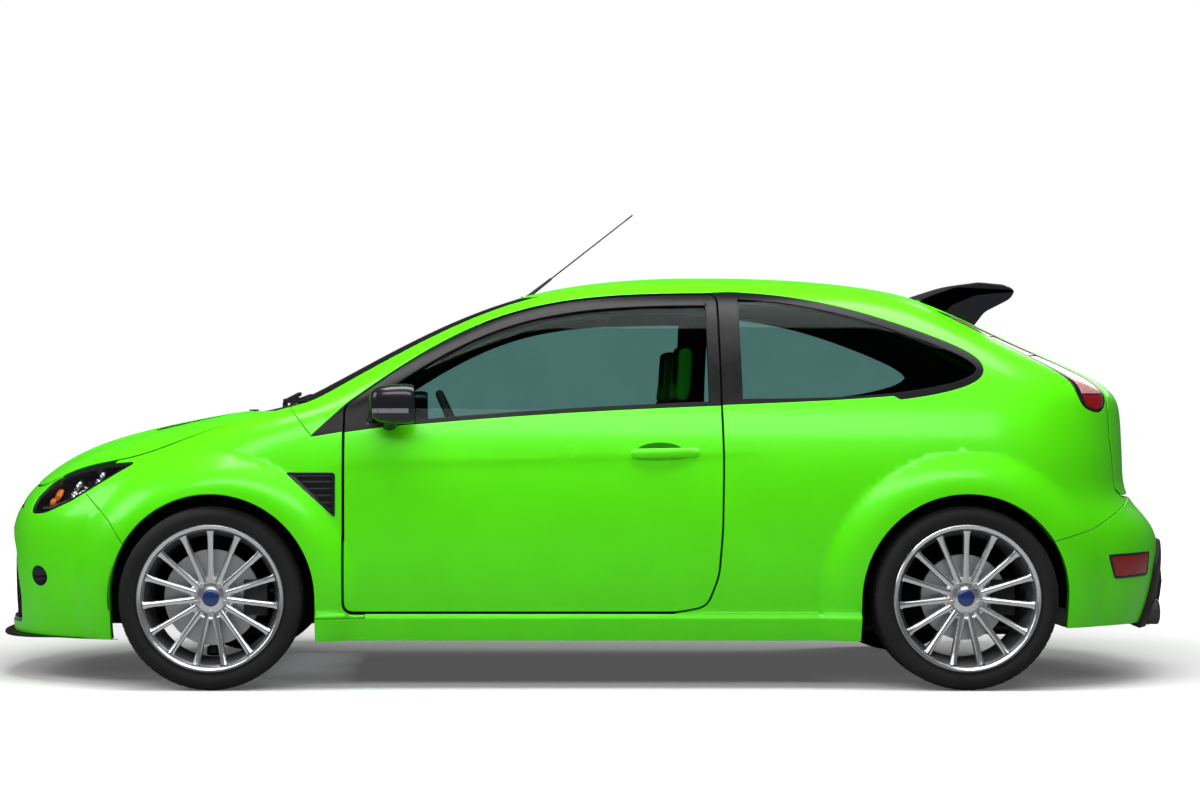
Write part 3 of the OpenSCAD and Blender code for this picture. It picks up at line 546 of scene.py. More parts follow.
@dataclass
class Mesh:
    """Triangles and quads gathered for one piece, in millimetres, with a normal at every vertex."""

    points: list[Array] = field(default_factory=list)
    normals: list[Array] = field(default_factory=list)
    faces: list[tuple[int, ...]] = field(default_factory=list)
    slots: list[int] = field(default_factory=list)
    count: int = 0

    def add(self, points: Array, normals: Array) -> int:
        """Adds vertices and returns the number of the first.

        Args:
            points: Places of the vertices.
            normals: Normals at the vertices.

        Returns:
            Number of the first vertex.
        """
        first = self.count
        self.points.append(np.asarray(points, float))
        self.normals.append(np.asarray(normals, float))
        self.count += len(points)
        return first

    def face(self, corners: Sequence[int], slot: int = 0) -> None:
        """Adds one face."""
        self.faces.append(tuple(int(c) for c in corners))
        self.slots.append(slot)

    def build(self, name: str, finishes: Sequence["Finish"]) -> bpy.types.Object:
        """Makes the Blender object, with every face turned to agree with its normals.

        Args:
            name: Name of the new object.
            finishes: Finish of each material slot.

        Returns:
            The object, linked into the scene.
        """
        points = np.concatenate(self.points)
        normals = np.concatenate(self.normals)
        faces = []
        for corners in self.faces:
            a, b, c = points[corners[0]], points[corners[1]], points[corners[2]]
            wanted = normals[corners[0]] + normals[corners[1]] + normals[corners[2]]
            faces.append(corners if np.dot(np.cross(b - a, c - a), wanted) >= 0 else corners[::-1])
        mesh = bpy.data.meshes.new(name)
        mesh.from_pydata((points * MM).tolist(), [], faces)
        for finish in finishes:
            mesh.materials.append(finish.material())
        mesh.polygons.foreach_set("material_index", self.slots)
        mesh.polygons.foreach_set("use_smooth", [True] * len(faces))
        mesh.normals_split_custom_set_from_vertices(normals.tolist())
        mesh.update()
        obj = bpy.data.objects.new(name, mesh)
        bpy.context.scene.collection.objects.link(obj)
        return obj


@dataclass
class Cut:
    """A piece of the skin cut out along outlines, with rolled edges, walls and a back."""

    skin: Skin
    chart: Chart
    loops: list[Loop]
    keep: Test
    side: int = 1
    step: float = 22.0
    edge: float = 14.0
    roll: float = 3.0
    depth: float = 14.0
    sink: float = 0.0
    back: bool = False
    relief: Callable[[Array], Array] | None = None
    clear_share: float = 0.55
    batch: int = 200
    slope_step: float = 1.5

    def flat(self) -> tuple[Array, Array]:
        """Points and triangles of the piece in its chart.

        Returns:
            Points, and triangles as rows of three point numbers.
        """
        loops = [dense(loop, self.edge) for loop in self.loops]
        outline = np.concatenate(loops)
        low, high = outline.min(0), outline.max(0)
        xs = np.arange(low[0] + self.step / 2, high[0], self.step)
        ys = np.arange(low[1] + self.step / 2, high[1], self.step)
        grid = np.stack(np.meshgrid(xs, ys), -1).reshape(-1, 2)
        grid = grid[self.keep(grid)]
        clear = np.ones(len(grid), bool)
        for start in range(0, len(outline), self.batch):
            chunk = outline[start : start + self.batch]
            gap = np.hypot(grid[:, None, 0] - chunk[None, :, 0], grid[:, None, 1] - chunk[None, :, 1])
            clear &= gap.min(1) > self.clear_share * self.edge
        edges = []
        first = 0
        for loop in loops:
            n = len(loop)
            edges += [(first + i, first + (i + 1) % n) for i in range(n)]
            first += n
        verts = [Vector(p) for p in np.concatenate([outline, grid[clear]])]
        points, _, faces, *_ = delaunay_2d_cdt(verts, edges, [], 0, 1e-3)
        points = np.array([tuple(p) for p in points])
        faces = np.array([f for f in faces if len(f) == 3])
        return points, faces[self.keep(points[faces].mean(1))]

    def into(self, mesh: Mesh, slot: int = 0, back_slot: int = 1, wall_slot: int | None = None) -> None:
        """Adds the piece to a mesh.

        Args:
            mesh: The mesh.
            slot: Finish of the face.
            back_slot: Finish of the back.
            wall_slot: Finish of the edges, if it isn't the back's.
        """
        wall_slot = back_slot if wall_slot is None else wall_slot
        flat, faces = self.flat()
        used, renumbered = np.unique(faces, return_inverse=True)
        flat, faces = flat[used], renumbered.reshape(-1, 3)
        n = self.skin.normals(self.chart, flat, self.side)
        p = self.skin.place(self.chart, flat, self.side) - n * self.sink
        if self.relief is not None:
            p = p + n * self.relief(flat)[:, None]
            n = self.bent(flat, n)
        free, rim, out = self.free_edges(flat, faces, n)
        p[rim] -= out * self.roll
        first = mesh.add(p, n)
        for f in faces:
            mesh.face(first + f, slot)
        self.roll_over(mesh, free, rim, out, p, n, first, (slot, wall_slot))
        if self.back:
            behind = mesh.add(p - n * (self.depth + self.roll), -n)
            for f in faces:
                mesh.face(behind + f, back_slot)

    def bent(self, flat: Array, n: Array) -> Array:
        """Normals turned by the relief's slope.

        Args:
            flat: Points of the chart, two numbers a row.
            n: Normals at the points.

        Returns:
            The turned normals.
        """
        out = n.copy()
        for axis in np.eye(2) * self.slope_step:
            ahead = self.skin.place(self.chart, flat + axis, self.side)
            along = ahead - self.skin.place(self.chart, flat - axis, self.side)
            rise = self.relief(flat + axis) - self.relief(flat - axis)
            length = np.maximum(1e-6, np.sum(along**2, 1))
            out -= along * (rise / length)[:, None]
        return unit(out)

    def free_edges(self, flat: Array, faces: Array, n: Array) -> tuple[list[tuple[int, int]], Array, Array]:
        """Free edges of the piece, the vertices on them, and the way out of the piece at each vertex.

        Args:
            flat: Points of the chart, two numbers a row.
            faces: Triangles, three point numbers a row.
            n: Normals at the points.

        Returns:
            The edges, the vertices, and the way out at each vertex.
        """
        edges: set[tuple[int, int]] = set()
        for f in faces.tolist():
            edges.update(((f[0], f[1]), (f[1], f[2]), (f[2], f[0])))
        free = [(a, b) for a, b in edges if (b, a) not in edges]
        free.sort()
        out = np.zeros_like(flat)
        for a, b in free:
            d = flat[b] - flat[a]
            normal = np.array([d[1], -d[0]]) / max(TINY, np.linalg.norm(d))
            out[a] += normal
            out[b] += normal
        rim = np.unique(np.array(free))
        o = unit(out[rim])
        ahead = self.skin.place(self.chart, flat[rim] + o * 0.5, self.side)
        t = ahead - self.skin.place(self.chart, flat[rim] - o * 0.5, self.side)
        t -= n[rim] * np.sum(t * n[rim], axis=1)[:, None]
        return free, rim, unit(t)

    def roll_over(
        self,
        mesh: Mesh,
        free: list[tuple[int, int]],
        rim: Array,
        t: Array,
        p: Array,
        n: Array,
        first: int,
        slots: tuple[int, int],
    ) -> None:
        """Rolls the piece's free edges over and runs a wall down from them.

        Args:
            mesh: The mesh to add to.
            free: Pairs of vertices, one for each free edge.
            rim: Vertices on the free edges.
            t: The way out of the piece at each of them.
            p: Points of the piece.
            n: Normals of the piece.
            first: Number of the piece's first vertex in the mesh.
            slots: Material slots of the rolled edge and of the wall.
        """
        number = {int(v): i for i, v in enumerate(rim)}
        rings = []
        for angle in (45.0, 90.0):
            s, c = math.sin(math.radians(angle)), math.cos(math.radians(angle))
            ring = p[rim] + (t * s - n[rim] * (1 - c)) * self.roll
            rings.append(mesh.add(ring, n[rim] * c + t * s))
        top = p[rim] + t * self.roll - n[rim] * self.roll
        wall = [mesh.add(top, t), mesh.add(top - n[rim] * self.depth, t)]
        for a, b in free:
            i, j = number[int(a)], number[int(b)]
            mesh.face((first + a, first + b, rings[0] + j, rings[0] + i), slots[0])
            mesh.face((rings[0] + i, rings[0] + j, rings[1] + j, rings[1] + i), slots[0])
            mesh.face((wall[0] + i, wall[0] + j, wall[1] + j, wall[1] + i), slots[1])


@dataclass(frozen=True)
class Finish:
    """How a surface looks: colour, gloss, the unevenness of both, and what light does in it."""

    name: str
    color: tuple[float, float, float]
    roughness: float = 0.5
    metallic: float = 0.0
    coat: float = 0.0
    coat_rough: float = 0.06
    shine: float = 0.5
    clear: float = 0.0
    grain: float = 0.0
    grain_scale: float = 400.0
    patch: float = 0.06
    patch_scale: float = 5.0
    wear: float = 0.08
    weave: float = 0.0

    def material(self) -> bpy.types.Material:
        """The Blender material of this finish, made on first use.

        Returns:
            The material, shared by every piece with this finish.
        """
        found = bpy.data.materials.get(self.name)
        if found is not None:
            return found
        material = bpy.data.materials.new(self.name)
        material.use_nodes = True
        tree = material.node_tree
        shader = tree.nodes["Principled BSDF"]
        if self.clear:
            self._let_through(tree, shader)
            return material
        shader.inputs["Metallic"].default_value = self.metallic
        shader.inputs["Coat Weight"].default_value = self.coat
        shader.inputs["Coat Roughness"].default_value = self.coat_rough
        shader.inputs["Specular IOR Level"].default_value = self.shine
        self._vary(tree, shader)
        if self.grain or self.weave:
            self._roughen(tree, shader)
        return material

    def _noise(self, tree: bpy.types.NodeTree, scale: float, detail: float) -> bpy.types.Node:
        """Noise fixed to the piece.

        Args:
            tree: The material's nodes.
            scale: Fineness of the noise.
            detail: Its layers.

        Returns:
            The node.
        """
        place = tree.nodes.new("ShaderNodeTexCoord")
        noise = tree.nodes.new("ShaderNodeTexNoise")
        noise.inputs["Scale"].default_value = scale
        noise.inputs["Detail"].default_value = detail
        tree.links.new(place.outputs["Object"], noise.inputs["Vector"])
        return noise

    def _vary(self, tree: bpy.types.NodeTree, shader: bpy.types.Node) -> None:
        """Makes the colour and the roughness a little uneven, as handling and age do.

        Args:
            tree: The material's nodes.
            shader: The material's main shader.
        """
        noise = self._noise(tree, self.patch_scale, 4)
        ramp = tree.nodes.new("ShaderNodeValToRGB")
        shares = (1 - self.patch, 1 + self.patch)
        for stop, place, share in zip(ramp.color_ramp.elements, NOISE_SPAN, shares):
            stop.position = place
            stop.color = (*(min(1.0, c * share) for c in self.color), 1)
        tree.links.new(noise.outputs["Fac"], ramp.inputs["Fac"])
        tree.links.new(ramp.outputs["Color"], shader.inputs["Base Color"])
        spread = tree.nodes.new("ShaderNodeMapRange")
        spread.inputs["From Min"].default_value, spread.inputs["From Max"].default_value = NOISE_SPAN
        spread.inputs["To Min"].default_value = max(0.02, self.roughness - self.wear / 2)
        spread.inputs["To Max"].default_value = min(1.0, self.roughness + self.wear / 2)
        fine = self._noise(tree, 9 * self.patch_scale, 3)
        tree.links.new(fine.outputs["Fac"], spread.inputs["Value"])
        tree.links.new(spread.outputs["Result"], shader.inputs["Roughness"])

    def _roughen(self, tree: bpy.types.NodeTree, shader: bpy.types.Node) -> None:
        """Gives the surface a fine grain, or the ribs of a weave.

        Args:
            tree: The material's nodes.
            shader: The material's main shader.
        """
        bump = tree.nodes.new("ShaderNodeBump")
        bump.inputs["Strength"].default_value = self.weave or self.grain
        bump.inputs["Distance"].default_value = BUMP_DEPTH
        if self.weave:
            place = tree.nodes.new("ShaderNodeTexCoord")
            ribs = tree.nodes.new("ShaderNodeTexWave")
            ribs.bands_direction = "DIAGONAL"
            ribs.inputs["Scale"].default_value = self.grain_scale
            ribs.inputs["Distortion"].default_value = 1.5
            tree.links.new(place.outputs["Object"], ribs.inputs["Vector"])
            height = ribs.outputs["Fac"]
        else:
            height = self._noise(tree, self.grain_scale, 3).outputs["Fac"]
        tree.links.new(height, bump.inputs["Height"])
        tree.links.new(bump.outputs["Normal"], shader.inputs["Normal"])

    def _let_through(self, tree: bpy.types.NodeTree, shader: bpy.types.Node) -> None:
        """Lets light through, tinted, except where the surface mirrors at a glancing angle.

        Args:
            tree: The material's nodes.
            shader: The material's main shader.
        """
        through = tree.nodes.new("ShaderNodeBsdfTransparent")
        tint = [self.clear * c / max(self.color) for c in self.color]
        ramp = tree.nodes.new("ShaderNodeValToRGB")
        shares = (1 - 0.4 * self.patch, 1.0)
        for stop, place, share in zip(ramp.color_ramp.elements, NOISE_SPAN, shares):
            stop.position = place
            stop.color = (*(c * share for c in tint), 1)
        tree.links.new(self._noise(tree, self.patch_scale, 3).outputs["Fac"], ramp.inputs["Fac"])
        tree.links.new(ramp.outputs["Color"], through.inputs["Color"])
        gloss = tree.nodes.new("ShaderNodeBsdfGlossy")
        gloss.inputs["Roughness"].default_value = self.roughness
        weight = tree.nodes.new("ShaderNodeFresnel")
        weight.inputs["IOR"].default_value = GLASS_IOR
        mix = tree.nodes.new("ShaderNodeMixShader")
        tree.links.new(weight.outputs["Fac"], mix.inputs["Fac"])
        tree.links.new(through.outputs["BSDF"], mix.inputs[1])
        tree.links.new(gloss.outputs["BSDF"], mix.inputs[2])
        out = tree.nodes["Material Output"]
        tree.links.new(mix.outputs["Shader"], out.inputs["Surface"])
        tree.nodes.remove(shader)


PAINT = Finish(
    "green_paint", (0.1, 0.85, 0.0), 0.38, coat=0.4, coat_rough=0.16, shine=0.2, patch=0.03, wear=0.05,
)
# Green paint darkened about fourfold, as painted shade: backs of the panels, walls of the shut lines, and
# flat patches for the door handle and number plate hollows.
SHADED_INNER_PAINT = Finish("inner_paint", (0.02, 0.2, 0.001), 0.5, shine=0.2)
GLASS = Finish("tinted_glass", (0.8, 1.0, 0.976), 0.0, clear=0.64)
CLEAR = Finish("clear_cover", (1.0, 1.0, 1.0), 0.0, clear=0.96)
FRIT = Finish("black_frit", (0.004, 0.004, 0.005), 0.32, shine=0.18, patch=0.2)
GLOSS_BLACK = Finish("gloss_black", (0.006, 0.006, 0.007), 0.2, coat=0.3, shine=0.3, patch=0.2)
SATIN_BLACK = Finish("satin_black", (0.012, 0.012, 0.013), 0.5, shine=0.3, grain=0.06, patch=0.2)
TRIM = Finish("black_trim", (0.02, 0.02, 0.021), 0.62, shine=0.3, grain=0.2, patch=0.2)
LINER = Finish("liner", (0.008, 0.008, 0.008), 0.9, shine=0.1, grain=0.2, patch=0.3)
RUBBER = Finish("seal_rubber", (0.01, 0.01, 0.01), 0.7, shine=0.2, patch=0.2)
TYRE = Finish(
    "tyre_rubber", (0.012, 0.012, 0.0125), 0.72, shine=0.22, grain=0.12, grain_scale=900.0, patch=0.25,
)
ALLOY = Finish("alloy", (0.50, 0.51, 0.53), 0.34, metallic=0.7, coat=0.2, coat_rough=0.2, patch=0.05)
BARREL = Finish("barrel_grey", (0.12, 0.12, 0.125), 0.45, metallic=0.6, patch=0.1)
CHROME = Finish("chrome", (0.82, 0.83, 0.85), 0.08, metallic=1.0, patch=0.03)
STEEL = Finish("steel", (0.15, 0.15, 0.155), 0.42, metallic=1.0, patch=0.12, patch_scale=14.0)
PIPE = Finish("pipe_steel", (0.09, 0.088, 0.085), 0.5, metallic=0.9, patch=0.25, patch_scale=9.0)
IRON = Finish("cast_iron", (0.05, 0.05, 0.053), 0.6, metallic=0.7, grain=0.3, patch=0.2)
CAP = Finish("wheel_cap", (0.01, 0.03, 0.16), 0.2, coat=0.6, patch=0.1)
CLOTH = Finish(
    "black_cloth", (0.014, 0.014, 0.016), 0.92, shine=0.15, weave=0.4, grain_scale=170.0, patch=0.3,
)
GREEN_CLOTH = Finish(
    "green_cloth", (0.06, 0.5, 0.02), 0.88, shine=0.15, weave=0.35, grain_scale=170.0, patch=0.12,
)
RED_LENS = Finish("red_lens", (0.30, 0.004, 0.006), 0.18, coat=0.5, shine=0.3, patch=0.2, patch_scale=60.0)
PINK_LENS = Finish(
    "pale_lens", (0.52, 0.26, 0.25), 0.22, coat=0.4, shine=0.3, patch=0.35, patch_scale=110.0,
)
AMBER = Finish("amber_lens", (0.75, 0.16, 0.008), 0.18, coat=0.5, shine=0.3, patch=0.2, patch_scale=60.0)
SILVER = Finish("silver_plastic", (0.36, 0.37, 0.39), 0.3, metallic=0.6)
MIRROR = Finish("mirror_glass", (0.75, 0.78, 0.8), 0.03, metallic=1.0, patch=0.02)
FLOOR = Finish("floor_white", (0.8, 0.8, 0.8), roughness=0.8)


class Shapes:
    """Plain solids with smooth faces and sharp corners, sizes in millimetres."""

    @staticmethod
    def make(
        name: str,
        points: Sequence[Sequence[float]],
        faces: Sequence[Sequence[int]],
        finish: Finish,
        bevel: float = 0.0,
        corner: float = 38.0,
    ) -> bpy.types.Object:
        """Makes an object from points and faces.

        Args:
            name: Name of the new object.
            points: Corners, in millimetres.
            faces: Corner numbers of each face.
            finish: Finish of the whole object.
            bevel: Width of the rounding of its edges.
            corner: Angle in degrees over which an edge stays sharp.

        Returns:
            The object, linked into the scene.
        """
        mesh = bpy.data.meshes.new(name)
        mesh.from_pydata((np.asarray(points, float) * MM).tolist(), [], [list(map(int, f)) for f in faces])
        mesh.materials.append(finish.material())
        mesh.polygons.foreach_set("use_smooth", [True] * len(mesh.polygons))
        mesh.set_sharp_from_angle(angle=math.radians(corner))
        mesh.update()
        obj = bpy.data.objects.new(name, mesh)
        bpy.context.scene.collection.objects.link(obj)
        if bevel:
            Shapes.soften(obj, bevel)
        return obj

    @staticmethod
    def soften(obj: bpy.types.Object, width: float, parts: int = 3) -> None:
        """Rounds an object's sharp edges.

        Args:
            obj: The object.
            width: Width of the rounding.
            parts: Segments of the rounding.
        """
        bevel = obj.modifiers.new("rounded", "BEVEL")
        bevel.width = width * MM
        bevel.segments = parts
        bevel.limit_method = "ANGLE"
        bevel.angle_limit = math.radians(30)
        bevel.harden_normals = True

    @staticmethod
    def loft(rings: Sequence[Array], closed: bool = True, caps: bool = True) -> Solid:
        """Points and faces of a skin over rings that have the same number of points.

        Args:
            rings: The rings.
            closed: Whether each ring is closed.
            caps: Whether the ends are closed.

        Returns:
            Points and faces.
        """
        n = len(rings[0])
        faces = []
        last = n if closed else n - 1
        for i in range(len(rings) - 1):
            for j in range(last):
                k = (j + 1) % n
                faces.append([i * n + j, i * n + k, (i + 1) * n + k, (i + 1) * n + j])
        if caps and closed:
            faces.append(list(range(n))[::-1])
            faces.append([(len(rings) - 1) * n + j for j in range(n)])
        return np.concatenate(rings), faces

    @staticmethod
    def lathe(profile: Sequence[Sequence[float]], count: int = 96, closed: bool = True) -> Solid:
        """Points and faces of a profile, given as radius and place, turned about the Y axis.

        Args:
            profile: Radius and place of each point.
            count: Number of steps in a turn.
            closed: Whether the profile is closed.

        Returns:
            Points and faces.
        """
        profile_points = np.asarray(profile, float)
        rings = []
        for t in full_turn(count):
            r, y = profile_points[:, 0], profile_points[:, 1]
            rings.append(columns(r * math.sin(t), y, r * math.cos(t)))
        n = len(profile_points)
        faces = []
        for i in range(count):
            a, b = i * n, (i + 1) % count * n
            for j in range(n if closed else n - 1):
                k = (j + 1) % n
                faces.append([a + j, a + k, b + k, b + j])
        return np.concatenate(rings), faces

    @staticmethod
    def tube(path: Sequence[Sequence[float]], radii: Sequence[float], count: int = 12) -> Solid:
        """Points and faces of a round tube along a path, with a radius at each of its points.

        Args:
            path: Points of the path.
            radii: Radius at each of them.
            count: Number of points round it.

        Returns:
            Points and faces.
        """
        line = np.asarray(path, float)
        rings = []
        for i, r in enumerate(radii):
            ahead = line[min(i + 1, len(line) - 1)] - line[max(i - 1, 0)]
            ahead /= np.linalg.norm(ahead)
            helper = np.array([0.0, 0.0, 1.0]) if abs(ahead[2]) < 0.9 else np.array([1.0, 0.0, 0.0])
            u = np.cross(ahead, helper)
            u /= np.linalg.norm(u)
            v = np.cross(ahead, u)
            t = full_turn(count)[:, None]
            rings.append(line[i] + r * (np.cos(t) * u + np.sin(t) * v))
        return Shapes.loft(rings)

    @staticmethod
    def block(low: Sequence[float], high: Sequence[float]) -> Solid:
        """Points and faces of a box between two corners.

        Args:
            low: The lower corner.
            high: The upper corner.

        Returns:
            Points and faces.
        """
        a, b = low, high
        points = [(x, y, z) for x in (a[0], b[0]) for y in (a[1], b[1]) for z in (a[2], b[2])]
        return np.array(points, float), BOX_FACES

    @staticmethod
    def join(parts: Sequence[Solid]) -> Solid:
        """Points and faces of several solids as one.

        Args:
            parts: The solids.

        Returns:
            Points and faces.
        """
        points, faces, first = [], [], 0
        for p, f in parts:
            points.append(np.asarray(p, float))
            faces += [[first + i for i in face] for face in f]
            first += len(p)
        return np.concatenate(points), faces


@dataclass
class Outlines:
    """Where the panels meet, each outline drawn in the view that it is measured in, in millimetres."""

    skin: Skin
    arch_r: float = 364.0
    shut_gap: float = 6.5
    belt_points: Points = (
        (-985, 884), (-800, 917), (-573, 936), (-323, 957), (0, 978), (300, 992), (600, 1003),
        (900, 1017), (1060, 1030),
    )
    window_top: Points = (
        (-866, 994), (-680, 1130), (-502, 1238), (-323, 1316), (-145, 1361), (34, 1385), (212, 1395),
        (391, 1397),
    )
    door_body: Points = (
        (-868, 272), (300, 272), (400, 292), (440, 400), (452, 560), (456, 800), (452, 1000), (452, 1396),
    )
    door_front: tuple[float, float] = (-868.0, 900.0)
    door_round: float = 34.0
    quarter_points: Points = (
        (520, 1392), (640, 1384), (770, 1364), (930, 1326), (1105, 1268), (1240, 1216), (1340, 1170),
        (1385, 1122), (1330, 1080), (1190, 1046), (1060, 1030),
    )
    lamp: Points = (
        (-2030, 606), (-2016, 655), (-1961, 711), (-1879, 757), (-1745, 786), (-1617, 797), (-1688, 757),
        (-1779, 703), (-1856, 658), (-1961, 612),
    )
    bonnet_half: Points = (
        (-2066, 0), (-2056, 220), (-2016, 400), (-1952, 474), (-1872, 516), (-1745, 614), (-1617, 702),
        (-1430, 738), (-1240, 748), (-1160, 742),
    )
    bonnet_rear_z: float = 978.0
    wing_points: Points = (
        (-1400, 250), (-1640, 500), (-1700, 588), (-1806, 690), (-1779, 712), (-1690, 800), (-1690, 1015),
        (-1085, 1015), (-985, 886), (-800, 917), (-800, 250),
    )
    screen_bottom: tuple[float, float] = (736, 1014)
    screen_top: tuple[float, float] = (548, 1392)
    gate_half: Points = (
        (0, 1420), (470, 1420), (506, 1350), (560, 1200), (610, 1060), (640, 1000), (652, 880), (640, 700),
        (600, 676), (0, 676),
    )
    gate_window_half: Points = (
        (0, 1318), (440, 1306), (470, 1270), (520, 1130), (516, 1088), (470, 1068), (0, 1056),
    )
    tail_lamp_points: Points = (
        (527, 1330), (562, 1345), (596, 1300), (668, 1180), (752, 1040), (756, 985), (700, 968), (656, 1000),
        (616, 1080),
    )
    gate_front: float = 1200.0
    bumper_top: float = 664.0
    roof_edge: float = 520.0

    def curve(self, points: Sequence[Sequence[float]], count: int) -> Loop:
        """Smooth open curve gliding along points."""
        return glide(np.array(points, float), np.linspace(0, len(points) - 1, count))

    def belt(self) -> Loop:
        """Lower edge of the side windows, from the mirror to behind the quarter glass."""
        return self.curve(self.belt_points, 60)

    def door(self) -> Loop:
        """Whole door, in side view.

        Returns:
            The outline, one point a row.
        """
        top = self.curve(self.window_top, 40)[::-1]
        body = np.array(self.door_body, float)
        return rounded(np.concatenate([body, top, [self.door_front]]), self.door_round)

    def above_belt(self, lift: float = 0.0) -> Loop:
        """Everything above the belt line, in side view."""
        line = self.belt() + np.array([0, lift])
        return np.concatenate([line, [(1060.0, 1500.0), (-1100.0, 1500.0), (-1100.0, 866.0 + lift)]])

    def quarter(self) -> Loop:
        """Quarter glass, in side view."""
        edge = self.curve(self.quarter_points, 60)
        return np.concatenate([[(520.0, 1010.0)], edge, [(900.0, 1017.0), (700.0, 1012.0)]])[::-1]

    def black_band(self) -> Loop:
        """Black border of all the side windows, in side view.

        Returns:
            The outline, one point a row.
        """
        lower = self.belt()
        rear = grown(self.quarter(), 16)
        rear = rear[(rear[:, 0] > 1062) | (rear[:, 1] > 1200)]
        rear = rear[rear[:, 0] > 470]
        order = np.argsort(np.arctan2(rear[:, 1] - 1180, rear[:, 0] - 900))
        top = self.curve(self.window_top, 40)[::-1] + np.array([0, 7])
        return np.concatenate([lower, rear[order], top, [(-985.0, 890.0)]])

    def arch(self, axle: float) -> Loop:
        """Wheel arch opening, in side view.

        Args:
            axle: Place of the axle along the car.

        Returns:
            The outline, one point a row.
        """
        t = np.linspace(0, math.pi, 60)
        r = self.arch_r
        hub = self.skin.hub_z
        upper = columns(axle + r * np.cos(t), hub + r * np.sin(t))
        return np.concatenate([upper, [(axle - r, -10.0), (axle + r, -10.0)]])

    def wing(self) -> Loop:
        """Front wing with the part of the door behind it, in side view."""
        return np.array(self.wing_points, float)

    def headlamp(self) -> Loop:
        """Headlamp, in side view."""
        return rounded(self.lamp, 26)

    def bonnet(self) -> Loop:
        """Bonnet, in plan.

        Returns:
            The outline, one point a row.
        """
        across = np.linspace(740, -740, 41)
        rear = columns(self.skin.nose_at(across, np.full(41, self.bonnet_rear_z)), across)
        edge = self.curve(self.bonnet_half, 60)
        other = edge[::-1] * np.array([1, -1])
        return np.concatenate([edge[:-2], rear, other[2:-1]])

    def over_bonnet(self, from_y: float) -> Loop:
        """Region over the bonnet's right edge, in side view, from a distance off the middle on.

        Args:
            from_y: The distance.

        Returns:
            The outline, one point a row.
        """
        bonnet = grown(self.bonnet(), self.shut_gap)
        edge = bonnet[bonnet[:, 1] > from_y]
        edge = edge[np.argsort(edge[:, 0])]
        return closed_at(columns(edge[:, 0], self.skin.top_z(edge[:, 0], edge[:, 1])), 1100.0)

    def seen_from_end(self, loop: Loop, low: float, high: float, floor: float = 150.0) -> list[Loop]:
        """Both sides' outlines, in front or rear view, of an outline drawn in side view.

        Args:
            loop: The outline in side view.
            low: Least X to take in.
            high: Greatest X to take in.
            floor: Least height to take in.

        Returns:
            The right side's outline and the left side's.
        """
        flat = dense(loop, FINE_STEP)
        flat = flat[(flat[:, 0] > low) & (flat[:, 1] > floor) & (flat[:, 0] < high)]
        y = self.skin.side_y(flat[:, 0], flat[:, 1]) - self.skin.flare(flat[:, 0], flat[:, 1])
        ends = columns(y, flat[:, 1])
        return [ends, ends * np.array([-1, 1])]

    def screen(self) -> Loop:
        """Windscreen, in front view."""
        (b, z0), (t, z1) = self.screen_bottom, self.screen_top
        return rounded([(-b, z0), (b, z0), (t, z1), (-t, z1)], 30)

    def gate(self) -> Loop:
        """Tailgate, in rear view."""
        return mirrored(self.gate_half)

    def gate_window(self) -> Loop:
        """Rear window, in rear view."""
        return rounded(mirrored(self.gate_window_half), 34)

    def tail_lamp(self) -> Loop:
        """Tail lamp on the right side, in rear view."""
        return rounded(self.tail_lamp_points, 26)

    def rear_joint(self) -> Loop:
        """Region of the rear bumper, in side view.

        Returns:
            The outline, one point a row.
        """
        axle = self.skin.axle_rear
        top = self.bumper_top
        return np.array(
            [(1300, 100), (axle + 300, 520), (1760, 560), (1960, top), (2300, top), (2300, 100)], float,
        )

    def crease(self) -> Loop:
        """Thin outline along the shoulder line of the side, so that the skin has points there.

        Returns:
            The outline, one point a row.
        """
        line = self.skin.crease_line
        x = np.linspace(-960, 640, 60)
        z = np.interp(x, line[:, 0], line[:, 1])
        return np.concatenate([columns(x, z), columns(x, z - 7)[::-1]])

    def rear_to_side(self, loop: Loop) -> Loop:
        """Outline drawn in rear view as it shows in side view."""
        flat = dense(loop, 12)
        return columns(self.skin.tail_at(flat[:, 0], flat[:, 1]), flat[:, 1])


@dataclass
class Assembly:
    """Base of the sub-assemblies: the shared skin and outlines, and how a piece joins the car."""

    skin: Skin
    lines: Outlines

    def attach(self, obj: bpy.types.Object, body: str, *nodes: str) -> bpy.types.Object:
        """Lets a piece move with a body of the car, in place of construction nodes if any are named.

        Args:
            obj: The piece.
            body: Name of the body.
            nodes: Names of the construction nodes that the piece stands for.

        Returns:
            The piece.
        """
        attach(obj, body)
        if nodes:
            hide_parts(*nodes)
        return obj

    def attach_set(self, pieces: Sequence[bpy.types.Object], body: str, node: str) -> None:
        """Lets pieces move with a body of the car, the first of them in place of a construction node.

        Args:
            pieces: The pieces.
            body: Name of the body.
            node: Name of the construction node.
        """
        first, *others = pieces
        self.attach(first, body, node)
        for piece in others:
            self.attach(piece, body)

    def layer(
        self,
        mesh: Mesh,
        slot: int,
        chart: Chart,
        inside: Sequence[Loop],
        without: Sequence[Loop] = (),
        **sizes: float | Callable[[Array], Array],
    ) -> None:
        """Adds a piece of skin in one finish to a mesh.

        Args:
            mesh: The mesh.
            slot: Finish of the piece.
            chart: Chart that the outlines are drawn in.
            inside: Outlines that the piece lies inside of.
            without: Outlines that are left out of it.
            sizes: Sizes of the cut, by name.
        """
        keep = region(*inside, without=without)
        Cut(self.skin, chart, [*inside, *without], keep, **sizes).into(mesh, slot, slot)

    def sheet(self, name: str, cuts: Sequence[Cut], finishes: Sequence[Finish]) -> bpy.types.Object:
        """One object from several pieces of skin with the same finishes.

        Args:
            name: Name of the new object.
            cuts: The pieces of skin.
            finishes: Finish of each material slot.

        Returns:
            The object, linked into the scene.
        """
        mesh = Mesh()
        for cut in cuts:
            # The walls of the cut edges take the last finish; on the painted panels that is the darkened
            # paint, painted shade in the shut lines.
            cut.into(mesh, wall_slot=len(finishes) - 1)
        return mesh.build(name, finishes)


